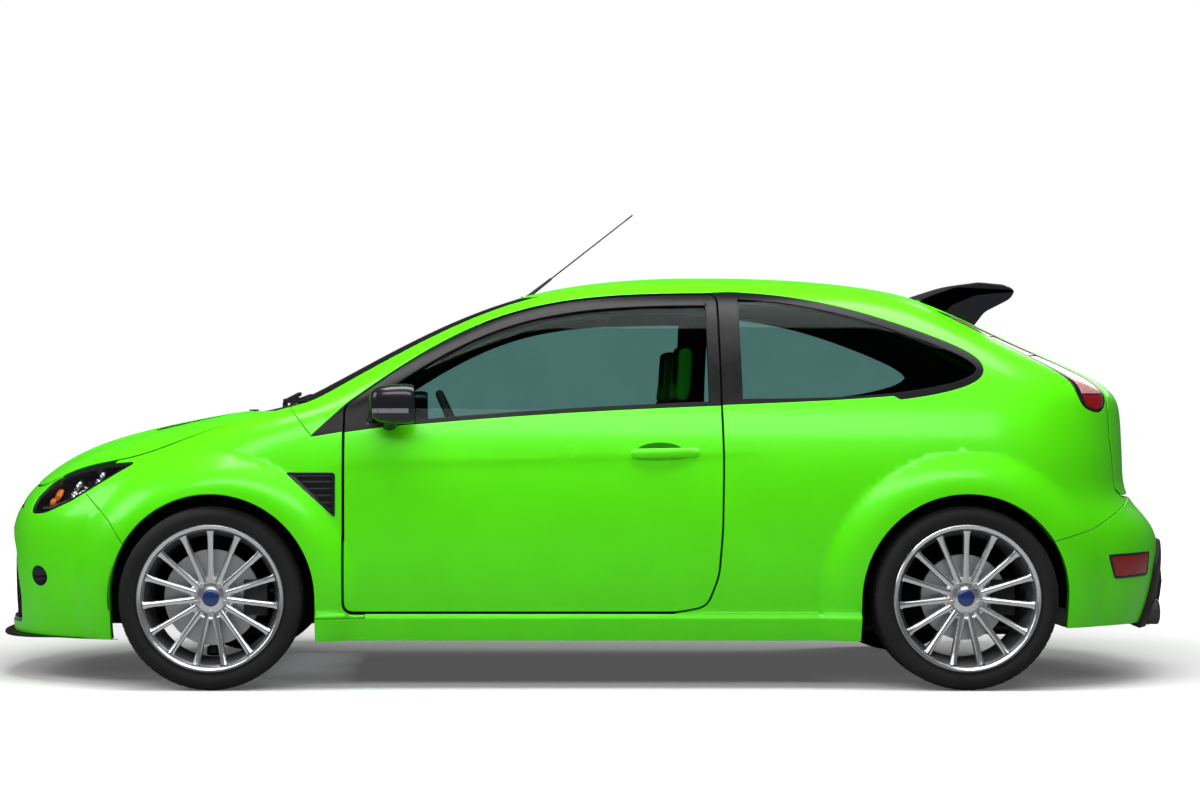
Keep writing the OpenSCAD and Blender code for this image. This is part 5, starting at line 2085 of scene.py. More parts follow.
@dataclass
class Bonnet(Assembly):
    """Bonnet with raised centre, two dark vents and washer jets."""

    vent: Points = ((-1600, 300), (-1585, 395), (-1300, 440), (-1285, 330))
    raise_by: float = 7.0
    blade_x: tuple[float, float, float] = (-1575, -1300, 34)
    blade_wide: float = 17.0
    jet_x: tuple[float, float, float] = (-1250.0, -1235.0, -1216.0)
    jet_y: float = 330.0

    def build(self) -> None:
        """Makes the bonnet."""
        self.attach(self.panel(), "bonnet", "bonnet")
        self.attach(self.vents(), "bonnet")
        self.attach(self.jets(), "bonnet")

    def relief(self, p: Array) -> Array:
        """Height of the raised centre over the plain skin, at points of the plan.

        Args:
            p: Points of the chart.

        Returns:
            The height at each point.
        """
        edge = np.interp(p[:, 0], [-2066, -1200], [250, 470])
        step = np.clip((edge - np.abs(p[:, 1])) / 60 + 0.5, 0, 1)
        fade = np.clip((p[:, 0] + 2050) / 220, 0, 1) * np.clip((-1195 - p[:, 0]) / 120, 0, 1)
        return self.raise_by * step * step * (3 - 2 * step) * fade

    def vent_loops(self) -> list[Loop]:
        """Outlines of the vents, in plan."""
        right = rounded(self.vent, 22)
        return [right, right[::-1] * np.array([1, -1])]

    def panel(self) -> bpy.types.Object:
        """Painted panel, its underside in the darkened paint as painted shade.

        Returns:
            The object, linked into the scene.
        """
        loop = self.lines.bonnet()
        vents = self.vent_loops()
        keep = region(loop, without=vents)
        cut = Cut(self.skin, Chart.TOP, [loop, *vents], keep, back=True, relief=self.relief)
        cut.step, cut.edge, cut.depth = 22.0, 12.0, 20.0
        return self.sheet("bonnet_skin", [cut], [PAINT, SHADED_INNER_PAINT])

    def vents(self) -> bpy.types.Object:
        """Louvre blades and floors of the vents.

        Returns:
            The object, linked into the scene.
        """
        mesh = Mesh()
        for loop in self.vent_loops():
            floor = {"step": 40.0, "edge": 14.0, "depth": 2.0, "sink": 12.0}
            self.layer(mesh, 0, Chart.TOP, [loop], relief=self.relief, **floor)
            for x in np.arange(*self.blade_x):
                end = x + self.blade_wide
                blade = np.array([(x, -600), (end, -600), (end, 600), (x, 600)], float)
                slat = {"step": 20.0, "edge": 10.0, "depth": 9.0, "sink": 2.5, "roll": 2.0}
                self.layer(mesh, 1, Chart.TOP, [loop, blade], relief=self.relief, **slat)
        return mesh.build("bonnet_vents", [LINER, SATIN_BLACK])

    def jets(self) -> bpy.types.Object:
        """Two washer jets.

        Returns:
            The object, linked into the scene.
        """
        solids = []
        front, middle, rear = self.jet_x
        for y in (-self.jet_y, self.jet_y):
            z = float(self.skin.top_z(np.array([middle]), np.array([y]))[0])
            solids.append(Shapes.block((front, y - 11, z - 4), (rear, y + 11, z + 6)))
        return Shapes.make("washer_jets", *Shapes.join(solids), SATIN_BLACK, bevel=3)


@dataclass
class Tail(Assembly):
    """Rear bumper with diffuser, reflectors, tail lamps and exhaust tips."""

    seam: float = 1.5
    bottom: float = 212.0
    diffuser_half: Points = (
        (0, 505), (440, 505), (530, 430), (560, 190), (0, 190),
    )
    reflector: Points = ((1822, 470), (2016, 474), (2008, 386), (1850, 382))
    pipe_y: float = 440.0
    pipe_z: float = 244.0
    tip_r: float = 46.0
    tip_end: float = 2085.0
    proud: float = 13.0
    cover_share: float = 0.9995
    floor_z: float = 196.0
    fin_y: tuple[float, ...] = (-348.0, -232.0, -116.0, 116.0, 232.0, 348.0)
    fin_z: tuple[float, ...] = (200, 250, 300, 350, 392)
    keel: tuple[tuple[float, float, float, float], ...] = (
        (2112, 80, 300, 450), (2150, 66, 308, 440), (2186, 40, 324, 426), (2200, 26, 334, 416),
    )
    lamp_bands: tuple[tuple[float, float, int], ...] = (
        (960, 1036, 1), (1040, 1176, 2), (1180, 1246, 1), (1250, 1360, 2),
    )

    def build(self) -> None:
        """Makes the tail."""
        self.attach(self.cover(), "body", "rear_bumper")
        self.attach(self.diffuser(), "body", "rear_diffuser")
        self.attach(self.tail_lamps(), "body", "tail_lamps")
        self.attach(self.reflectors(), "body")

    def diffuser_loop(self) -> Loop:
        """Outline of the diffuser, in rear view."""
        return rounded(mirrored(self.diffuser_half), 20)

    def cover(self) -> bpy.types.Object:
        """Painted bumper cover.

        Returns:
            The object, linked into the scene.
        """
        skin, lines = self.skin, self.lines
        joint = grown(lines.rear_joint(), -self.seam)
        arch = lines.arch(skin.axle_rear)
        hole = self.diffuser_loop()
        top = lines.bumper_top - self.seam
        behind = region(joint, without=[arch])

        def keep(p: Array) -> Array:
            """Which points belong to the piece.

            Args:
                p: Points of the chart.

            Returns:
                True for each of them.
            """
            flat = columns(skin.tail_at(np.abs(p[:, 0]), p[:, 1]), p[:, 1])
            ok = (p[:, 1] > self.bottom) & (p[:, 1] < top) & behind(flat) & ~within(p, hole)
            return ok & (np.abs(p[:, 0]) < self.cover_share * skin.half_width(p[:, 1]))

        loops = [hole]
        for loop in (joint, arch):
            loops += lines.seen_from_end(loop, 1430, 2100)
        for z in (self.bottom, top):
            loops.append(np.array([(-880, z), (880, z), (880, z - 2), (-880, z - 2)], float))
        cut = Cut(skin, Chart.TAIL, loops, keep, step=18, edge=12, depth=16, back=True)
        return self.sheet("rear_bumper_skin", [cut], [PAINT, SHADED_INNER_PAINT])

    def diffuser(self) -> bpy.types.Object:
        """Black diffuser with upright fins, a keel at the centre and two openings for the pipes.

        Returns:
            The object, linked into the scene.
        """
        hole = grown(self.diffuser_loop(), -2)
        pipes = [circle(s * self.pipe_y, self.pipe_z, self.tip_r + 12, 48) for s in (-1, 1)]
        whole = region(hole, without=pipes)

        def keep(p: Array) -> Array:
            """Which points belong to the piece."""
            return whole(p) & (p[:, 1] > self.floor_z)

        low = self.floor_z
        base = np.array([(-600, low), (600, low), (600, low - 2), (-600, low - 2)], float)
        mesh = Mesh()
        cut = Cut(self.skin, Chart.TAIL, [hole, base, *pipes], keep, roll=4.0)
        cut.step, cut.edge, cut.depth, cut.sink = 24.0, 12.0, 50.0, -self.proud
        cut.into(mesh, 0, 0)
        panel = mesh.build("diffuser_skin", [TRIM])
        fins = []
        for y in self.fin_y:
            rings = []
            for z in self.fin_z:
                x = float(self.skin.tail_at(y, z)) + self.proud + 12 * min(1.0, (400 - z) / 60)
                root = x - 60
                rings.append(np.array([(x, y - 6, z), (x, y + 6, z), (root, y + 9, z), (root, y - 9, z)]))
            fins.append(Shapes.loft(rings))
        keel = []
        for x, half, low, high in self.keel:
            flat = rounded([(-half, low), (half, low), (half, high), (-half, high)], 14, 4)
            keel.append(np.concatenate([np.full((len(flat), 1), float(x)), flat], 1))
        fins.append(Shapes.loft(keel))
        self.attach(Shapes.make("diffuser_fins", *Shapes.join(fins), SATIN_BLACK, bevel=2), "body")
        self.attach(self.tips(), "body")
        return panel

    def tips(self) -> bpy.types.Object:
        """Rolled ends of the two exhaust pipes.

        Returns:
            The object, linked into the scene.
        """
        solids = []
        r = self.tip_r
        profile = [(r, -70), (r + 1, -10), (r + 0.6, -2), (r - 1.5, 0), (r - 4, -3), (r - 5, -70)]
        for s in (-1, 1):
            points, faces = Shapes.lathe(profile, 64)
            place = np.array([self.tip_end, s * self.pipe_y, self.pipe_z])
            solids.append((points[:, [1, 0, 2]] + place, [f[::-1] for f in faces]))
        return Shapes.make("exhaust_tips", *Shapes.join(solids), PIPE, corner=60)

    def tail_lamps(self) -> bpy.types.Object:
        """Black-edged lamps with red and clear parts, up the rear pillars.

        Returns:
            The object, linked into the scene.
        """
        lamp = self.lines.tail_lamp()
        inner = grown(lamp, -11)
        shell = Mesh()
        for s in (-1, 1):
            flip = np.array([s, 1])
            whole, core = lamp * flip, inner * flip
            close = {"step": 10.0, "edge": 8.0}
            self.layer(shell, 0, Chart.TAIL, [whole], [core], depth=20.0, sink=0.5, roll=1.5, **close)
            for low, high, slot in self.lamp_bands:
                band = np.array([(400, low), (900, low), (900, high), (400, high)], float) * flip
                self.layer(shell, slot, Chart.TAIL, [core, band], depth=8.0, sink=2.0, roll=2.0, **close)
        return shell.build("tail_lamp_lenses", [GLOSS_BLACK, RED_LENS, PINK_LENS])

    def reflectors(self) -> bpy.types.Object:
        """Red reflectors in the corners of the bumper.

        Returns:
            The object, linked into the scene.
        """
        mesh = Mesh()
        loop = rounded(self.reflector, 12)
        lens = grown(loop, -9)
        for side in Side:
            sizes = {"side": side.value, "step": 12.0, "edge": 8.0, "depth": 6.0, "sink": -2.5, "roll": 2.0}
            self.layer(mesh, 0, Chart.SIDE, [loop], [lens], **sizes)
            self.layer(mesh, 1, Chart.SIDE, [lens], **sizes)
        return mesh.build("rear_reflectors", [GLOSS_BLACK, RED_LENS])


@dataclass
class Tailgate(Assembly):
    """Tailgate with its glass, black roof spoiler and grip strip."""

    spoiler_y: float = 482.0
    blade_long: float = 360.0
    inset: float = 24.0
    blade: Points = (
        (1206, 1393), (1262, 1420), (1342, 1446), (1440, 1459), (1530, 1451), (1566, 1437), (1560, 1427),
        (1500, 1424), (1420, 1416), (1330, 1380), (1290, 1340),
    )
    fin: Points = (
        (1206, 1393), (1342, 1440), (1560, 1430), (1540, 1396), (1446, 1348), (1380, 1262), (1280, 1300),
    )

    def build(self) -> None:
        """Makes the tailgate."""
        self.attach(self.panel(), "tailgate", "tailgate")
        self.attach(self.glass(), "tailgate", "tailgate_glass")
        self.attach(self.spoiler(), "tailgate", "rear_spoiler")
        self.attach(self.handle(), "tailgate")

    def panel(self) -> bpy.types.Object:
        """Painted panel round the glass.

        Returns:
            The object, linked into the scene.
        """
        skin, lines = self.skin, self.lines
        gate, window = lines.gate(), lines.gate_window()
        y = np.linspace(-520, 520, 60)
        z = skin.top_z(np.full(60, lines.gate_front), np.abs(y))
        front = closed_at(columns(y, z), 1560.0)
        keep = region(gate, without=[window, front])
        cut = Cut(skin, Chart.TAIL, [gate, window, front], keep, step=16, edge=12, depth=5, back=True)
        inset = around(gate, -self.inset)
        border = grown(window, self.inset)
        inside = region(gate, inset, without=[window, front, border])
        plate = Cut(skin, Chart.TAIL, [inset, border, front], inside)
        plate.step, plate.edge, plate.depth, plate.sink, plate.back = 16.0, 12.0, 24.0, 9.0, True
        self.attach(self.sheet("tailgate_inner", [plate], [TRIM, TRIM]), "tailgate")
        return self.sheet("tailgate_skin", [cut], [PAINT, SHADED_INNER_PAINT])

    def glass(self) -> bpy.types.Object:
        """Rear glass with a black border.

        Returns:
            The object, linked into the scene.
        """
        window = grown(self.lines.gate_window(), -1)
        inner = grown(window, -30)
        sizes = {"step": 14.0, "edge": 10.0, "depth": 4.0, "sink": 3.0}
        mesh = Mesh()
        self.layer(mesh, 0, Chart.TAIL, [window], [inner], roll=0.5, **sizes)
        self.layer(mesh, 1, Chart.TAIL, [inner], roll=0.1, **sizes)
        return mesh.build("tailgate_pane", [FRIT, GLASS])

    def spoiler(self) -> bpy.types.Object:
        """Black blade over the rear glass on two end fins.

        Returns:
            The object, linked into the scene.
        """
        blade = rounded(self.blade, 10, 4)
        y = np.linspace(-self.spoiler_y, self.spoiler_y, 33)
        rings = []
        for yi in y:
            t = abs(yi) / self.spoiler_y
            sink = 10 * t * t + (6 * ((t - 0.9) / 0.1) ** 2 if t > 0.9 else 0)
            x = blade[:, 0] - 14 * t * t * (blade[:, 0] - self.blade[0][0]) / self.blade_long
            rings.append(columns(x, yi, blade[:, 1] - sink))
        parts = [Shapes.loft(rings)]
        fin = rounded(self.fin, 16, 5)
        for s in (-1, 1):
            sides = []
            for back, inset in ((40, 0.985), (34, 1.0), (6, 1.0), (0, 0.985)):
                yi = self.spoiler_y - back
                centre = fin.mean(0)
                flat = centre + (fin - centre) * inset
                sides.append(columns(flat[:, 0], np.full(len(fin), s * yi), flat[:, 1] - 9))
            parts.append(Shapes.loft(sides))
        return Shapes.make("spoiler_skin", *Shapes.join(parts), GLOSS_BLACK, corner=32)

    def handle(self) -> bpy.types.Object:
        """Dark grip strip above a thin patch of painted shade in the darkened paint, where the number plate
        hollow would be.

        Returns:
            The object, linked into the scene.
        """
        mesh = Mesh()
        strip = rounded([(-260, 800), (260, 800), (250, 824), (-250, 824)], 10)
        # Plate hollow as a thin patch of the darkened paint standing 0.8 mm proud of the skin: painted
        # shade.
        recess_shade = rounded([(-270, 684), (270, 684), (260, 790), (-260, 790)], 16)
        sizes = {"step": 16.0, "edge": 10.0}
        self.layer(mesh, 0, Chart.TAIL, [strip], depth=14.0, sink=-4.0, roll=3.0, **sizes)
        self.layer(mesh, 1, Chart.TAIL, [recess_shade], depth=3.0, sink=-0.8, roll=0.6, **sizes)
        return mesh.build("tailgate_grip", [GLOSS_BLACK, SHADED_INNER_PAINT])


@dataclass
class RoadWheel(Assembly):
    """A tyre on a fifteen-spoke wheel, with the brake disc behind it."""

    end: str = "front"
    side: Side = Side.LEFT
    tyre_r: float = 322.0
    half_tread: float = 117.5
    bead_r: float = 241.5
    spokes: int = 15
    nuts: int = 5
    hub_y: float = 793.0
    nut_circle: float = 53.0
    disc_r: tuple[float, float] = (168.0, 150.0)
    blocks: int = 60
    tread_rows: Points = ((-98, -62), (-54, -22), (-14, 14), (22, 54), (62, 98))
    spoke_stations: tuple[tuple[float, float, float, float], ...] = (
        (58, 13, 52, 82), (80, 11.5, 54, 84), (130, 10.2, 58, 88), (190, 10.2, 66, 96),
        (222, 11.5, 74, 102), (236, 15, 80, 106),
    )
    hub_profile: Points = (
        (0.1, 82), (34, 82), (40, 78), (62, 79), (70, 82), (76, 78), (76, 50), (0.1, 50),
    )
    nut_profile: Points = ((74, 10.5), (84, 10.5), (86, 8.5), (86.5, 5))
    cap_profile: Points = (
        (0.1, 88), (12, 87.6), (22, 86.4), (28, 84.4), (30.5, 81), (30.5, 74), (0.1, 74),
    )
    rim_profile: Points = (
        (14, 108), (16, 112), (13, 115), (6, 114.5), (1, 110), (-2, 103), (-5, 96), (-8, 88), (-2, 88),
        (0, 102),
    )
    barrel_profile: Points = (
        (-6, 92), (-9, 84), (-18, 60), (-24, 20), (-26, -60), (-14, -92), (4, -104), (12, -110), (12, -104),
        (0, -96), (-10, -60), (-8, 20), (0, 60), (0, 92),
    )

    def build(self) -> None:
        """Makes the tyre, the wheel and the disc."""
        label = f"{self.end}_{self.side.name.lower()}"
        body = f"{label}_wheel"
        self.attach(self.put(f"tyre_{label}_rubber", self.tyre(), TYRE), body, f"tyre_{label}")
        self.attach(self.put(f"tread_{label}", self.tread(), TYRE, 20), body)
        rim, barrel = (self.at_bead(profile) for profile in (self.rim_profile, self.barrel_profile))
        self.attach(self.put(f"rim_{label}", rim, ALLOY), body, f"wheel_{label}")
        self.attach(self.put(f"barrel_{label}", barrel, BARREL), body)
        self.attach(self.put(f"spokes_{label}", self.spoke_set(), ALLOY, 50), body)
        self.attach(self.put(f"nuts_{label}", self.nut_set(), STEEL), body)
        self.attach(self.put(f"cap_{label}", Shapes.lathe(self.cap_profile, 64), CAP, 50), body)
        self.attach(self.put(f"disc_{label}_face", self.disc(), STEEL), body, f"disc_{label}")
        self.attach(self.put(f"valve_{label}", self.valve(), RUBBER), body)

    def put(self, name: str, solid: Solid, finish: Finish, corner: float = 38.0) -> bpy.types.Object:
        """An object at the wheel's place with its outer face outwards.

        Args:
            name: Name of the new object.
            solid: Points and faces about the wheel's centre.
            finish: Finish of the whole object.
            corner: Angle in degrees over which an edge stays sharp.

        Returns:
            The object, linked into the scene.
        """
        points, faces = solid
        s = self.side.value
        x = self.skin.axle_front if self.end == "front" else self.skin.axle_rear
        moved = points * np.array([1, s, 1]) + np.array([x, s * self.hub_y, self.skin.hub_z])
        turned = [f[::-1] for f in faces] if s < 0 else faces
        return Shapes.make(name, moved, turned, finish, corner=corner)

    def tyre(self) -> Solid:
        """Carcass with rounded shoulders and a ridge at the rim.

        Returns:
            Points and faces.
        """
        r, w, bead = self.tyre_r, self.half_tread, self.bead_r
        side = [
            (bead + 4, 100), (bead + 17, 108), (bead + 20, 110.5), (bead + 24, 110), (bead + 30, 113.5),
            (bead + 44, w), (bead + 56, w - 1), (r - 14, 111), (r - 6, 104), (r - 3, 96),
        ]
        other = [(radius, -y) for radius, y in side[::-1]]
        return Shapes.lathe([*side, *other, (bead + 2, -90), (bead + 2, 90)], 128)

    def tread(self) -> Solid:
        """Tread blocks in five rows.

        Returns:
            Points and faces.
        """
        solids = []
        middle = len(self.tread_rows) // 2
        for k, (a, b) in enumerate(self.tread_rows):
            if k == middle:
                ring = [(self.tyre_r - 8, a), (self.tyre_r - 8, b), (self.tyre_r, b), (self.tyre_r, a)]
                solids.append(Shapes.lathe(ring, 128))
                continue
            for i in range(self.blocks):
                t0 = 2 * math.pi * (i + 0.12 + 0.06 * k) / self.blocks
                t1 = 2 * math.pi * (i + 0.92 + 0.06 * k) / self.blocks
                outer = self.tyre_r - (1.6 if k in (0, 2 * middle) else 0.0)
                corners = []
                for rr in (self.tyre_r - 9, outer):
                    for t in (t0, t1):
                        for y in (a, b):
                            turn = t + 0.0006 * y * (1 if k > middle else -1)
                            corners.append((rr * math.sin(turn), y, rr * math.cos(turn)))
                solids.append((np.array(corners), BOX_FACES))
        return Shapes.join(solids)

    def at_bead(self, profile: Points) -> Solid:
        """A ring turned from a profile whose radii count from the bead's."""
        return Shapes.lathe([(self.bead_r + r, y) for r, y in profile], 128)

    def spoke_set(self) -> Solid:
        """Straight spokes that thin towards the rim, and the hub that they grow from.

        Returns:
            Points and faces.
        """
        solids = []
        for i in range(self.spokes):
            t = 2 * math.pi * i / self.spokes
            c, s = math.cos(t), math.sin(t)
            rings = []
            for r, half, low, high in self.spoke_stations:
                flat = [
                    (-half, low), (-half, high - 6), (-half * 0.72, high - 1.5), (0, high),
                    (half * 0.72, high - 1.5), (half, high - 6), (half, low),
                ]
                rings.append(np.array([(r * s + q * c, y, r * c - q * s) for q, y in flat]))
            solids.append(Shapes.loft(rings))
        solids.append(Shapes.lathe(self.hub_profile, 96))
        return Shapes.join(solids)

    def nut_set(self) -> Solid:
        """Wheel nuts in their seats.

        Returns:
            Points and faces.
        """
        solids = []
        for i in range(self.nuts):
            t = 2 * math.pi * (i + 0.5) / self.nuts
            x, z = self.nut_circle * math.sin(t), self.nut_circle * math.cos(t)
            rings = []
            a = full_turn(6)
            for y, r in self.nut_profile:
                rings.append(columns(x + r * np.cos(a), y, z + r * np.sin(a)))
            solids.append(Shapes.loft(rings))
        return Shapes.join(solids)

    def disc(self) -> Solid:
        """Vented brake disc with its bell.

        Returns:
            Points and faces.
        """
        r = self.disc_r[0 if self.end == "front" else 1]
        plates = [(r, 32), (r, 22), (r - 12, 22), (r - 12, 17), (r, 17), (r, 7)]
        bell = [(60, 7), (60, -20), (0.1, -20), (0.1, 50)]
        return Shapes.lathe([(84, 50), (84, 32), *plates, *bell], 96)

    def valve(self) -> Solid:
        """Valve stem at the rim."""
        return Shapes.tube([(224, 80, 30), (214, 104, 28), (213, 108, 28)], [4, 4, 3], 10)


@dataclass(frozen=True)
class Pad:
    """A stuffed pad lofted along a line in side view, with its half width, half thickness and channels."""

    line: Points
    half: float
    thick: float
    y: float = 0.0
    channels: int = 0
    stations: int = 44
    around: int = 32

    def solid(self, centre: float, way: int = 1) -> Solid:
        """Crowned closed form with rounded ends, sides pulled in, and a groove at each channel.

        Args:
            centre: Y of the seat's middle.
            way: Sign of the side of the seat that the pad is on.

        Returns:
            Points and faces.
        """
        controls = np.array(self.line, float)
        u = np.linspace(0, 1, self.stations)
        at = glide(controls, u * (len(controls) - 1))
        along = np.gradient(at, axis=0)
        along = unit(along)
        across = columns(-along[:, 1], along[:, 0])
        end = np.clip(1 - np.abs(2 * u - 1) ** 9, 0.0, 1) ** 0.45
        wave = np.abs(np.cos(math.pi * self.channels * u)) ** 16 if self.channels else np.zeros(len(u))
        t = full_turn(self.around)
        c = bulged(np.cos(t), 0.55)
        d = bulged(np.sin(t), 0.75)
        rings = []
        for k in range(self.stations):
            wide = self.half * (0.8 + 0.2 * end[k]) * (1 - 0.03 * math.sin(math.pi * u[k]))
            deep = self.thick * max(0.12, end[k]) * (1 - 0.13 * wave[k])
            xz = at[k] + d[:, None] * deep * across[k]
            rings.append(columns(xz[:, 0], centre + way * (self.y + wide * c), xz[:, 1]))
        points, faces = Shapes.loft(rings)
        return points, faces if way > 0 else [f[::-1] for f in faces]


@dataclass
class Cabin(Assembly):
    """What shows through the glass: padded seats, dashboard and steering wheel."""

    frame_nodes: dict[str, bpy.types.Object] = field(default_factory=dict)
    seat_y: float = 370.0
    rail_x: tuple[float, float] = (-236.0, 186.0)
    rail_y: float = 172.0
    rail_z: tuple[float, float] = (203.0, 232.0)
    leg_x: tuple[float, float] = (-200.0, 150.0)
    leg_z: tuple[float, float] = (228.0, 344.0)
    bar_y: float = 170.0
    bar_z: tuple[float, float] = (316.0, 336.0)
    post_y: float = 60.0
    post_line: Points = ((344, 1010), (350, 1090))
    anchor_y: float = 640.0
    middle_pads: tuple[Pad, ...] = (
        Pad(((-316, 398), (-200, 384), (-60, 374), (80, 376), (180, 384)), 190, 44, channels=4),
        Pad(((222, 452), (258, 590), (298, 770), (328, 930), (344, 1030)), 186, 44, channels=5),
        Pad(((347, 1070), (350, 1120), (351, 1170), (351, 1215)), 124, 31),
    )
    side_pads: tuple[Pad, ...] = (
        Pad(((-296, 414), (-180, 412), (-60, 412), (70, 428), (150, 440)), 29, 58, y=229),
        Pad(((205, 500), (232, 640), (262, 800), (290, 920), (304, 985)), 29, 66, y=229),
    )
    accent_pads: tuple[Pad, ...] = (
        Pad(((335, 1014), (345, 1070), (350, 1140), (352, 1206)), 24, 26, y=152),
    )
    rear_pads: tuple[Pad, ...] = (
        Pad(((516, 322), (600, 318), (700, 310), (800, 308), (848, 312)), 270, 86, y=285, channels=3),
        Pad(((866, 436), (886, 540), (908, 660), (932, 790), (950, 856)), 270, 31, y=285, channels=4),
    )

    def build(self) -> None:
        """Makes the seats and finishes the dashboard and the steering wheel."""
        Kept.finish(self.frame_nodes["dashboard"], TRIM, 14.0)
        Kept.finish(self.frame_nodes["steering_wheel"], TRIM, 3.0)
        for side in Side:
            label = side.name.lower()
            centre = side.value * self.seat_y
            black = [pad.solid(centre) for pad in self.middle_pads]
            black += [pad.solid(centre, way) for pad in self.side_pads for way in (-1, 1)]
            seat = Shapes.make(f"front_seat_{label}", *Shapes.join(black), CLOTH, corner=80)
            self.attach(seat, "body", *(["front_seats"] if side is Side.LEFT else []))
            green = [pad.solid(centre, way) for pad in self.accent_pads for way in (-1, 1)]
            wings = Shapes.make(f"seat_wings_{label}", *Shapes.join(green), GREEN_CLOTH, corner=80)
            self.attach(wings, "body")
        rear = [pad.solid(0.0, way) for pad in self.rear_pads for way in (-1, 1)]
        bench = Shapes.make("rear_bench", *Shapes.join(rear), CLOTH, corner=80)
        self.attach(bench, "body", "rear_seat")
        self.attach(self.rails(), "body")
        self.attach(self.belts(), "body")

    def rails(self) -> bpy.types.Object:
        """Seat rails, cross bars and head restraint posts.

        Returns:
            The object, linked into the scene.
        """
        solids = []
        for centre in (-self.seat_y, self.seat_y):
            for y in (centre - self.rail_y, centre + self.rail_y):
                ends = zip(self.rail_x, (y - 16, y + 16), self.rail_z)
                solids.append(Shapes.block(*ends))
                for x in self.leg_x:
                    solids.append(Shapes.block(*zip((x - 18, x + 18), (y - 8, y + 8), self.leg_z)))
            across = (centre - self.bar_y, centre + self.bar_y)
            for x in self.leg_x:
                solids.append(Shapes.block(*zip((x - 10, x + 10), across, self.bar_z)))
            for y in (centre - self.post_y, centre + self.post_y):
                solids.append(Shapes.tube([(x, y, z) for x, z in self.post_line], [6, 6], 12))
        return Shapes.make("seat_rails", *Shapes.join(solids), SATIN_BLACK, bevel=3)

    def belts(self) -> bpy.types.Object:
        """Folded belt anchors on the pillars between the windows.

        Returns:
            The object, linked into the scene.
        """
        solids = []
        for s in (-1, 1):
            y = s * self.anchor_y
            solids.append(Shapes.block((470, y - 8, 1190), (500, y + 8, 1250)))
        return Shapes.make("belt_anchors", *Shapes.join(solids), TRIM, bevel=4)


class Kept:
    """Construction nodes that show as they are, with a finish and rounded edges."""

    @staticmethod
    def finish(obj: bpy.types.Object, finish: Finish, bevel: float = 0.0) -> None:
        """Gives a construction node its finish.

        Args:
            obj: The node's object.
            finish: The finish.
            bevel: Width of the rounding of its edges, in millimetres.
        """
        obj.data.materials.clear()
        obj.data.materials.append(finish.material())
        if bevel:
            Shapes.soften(obj, bevel)


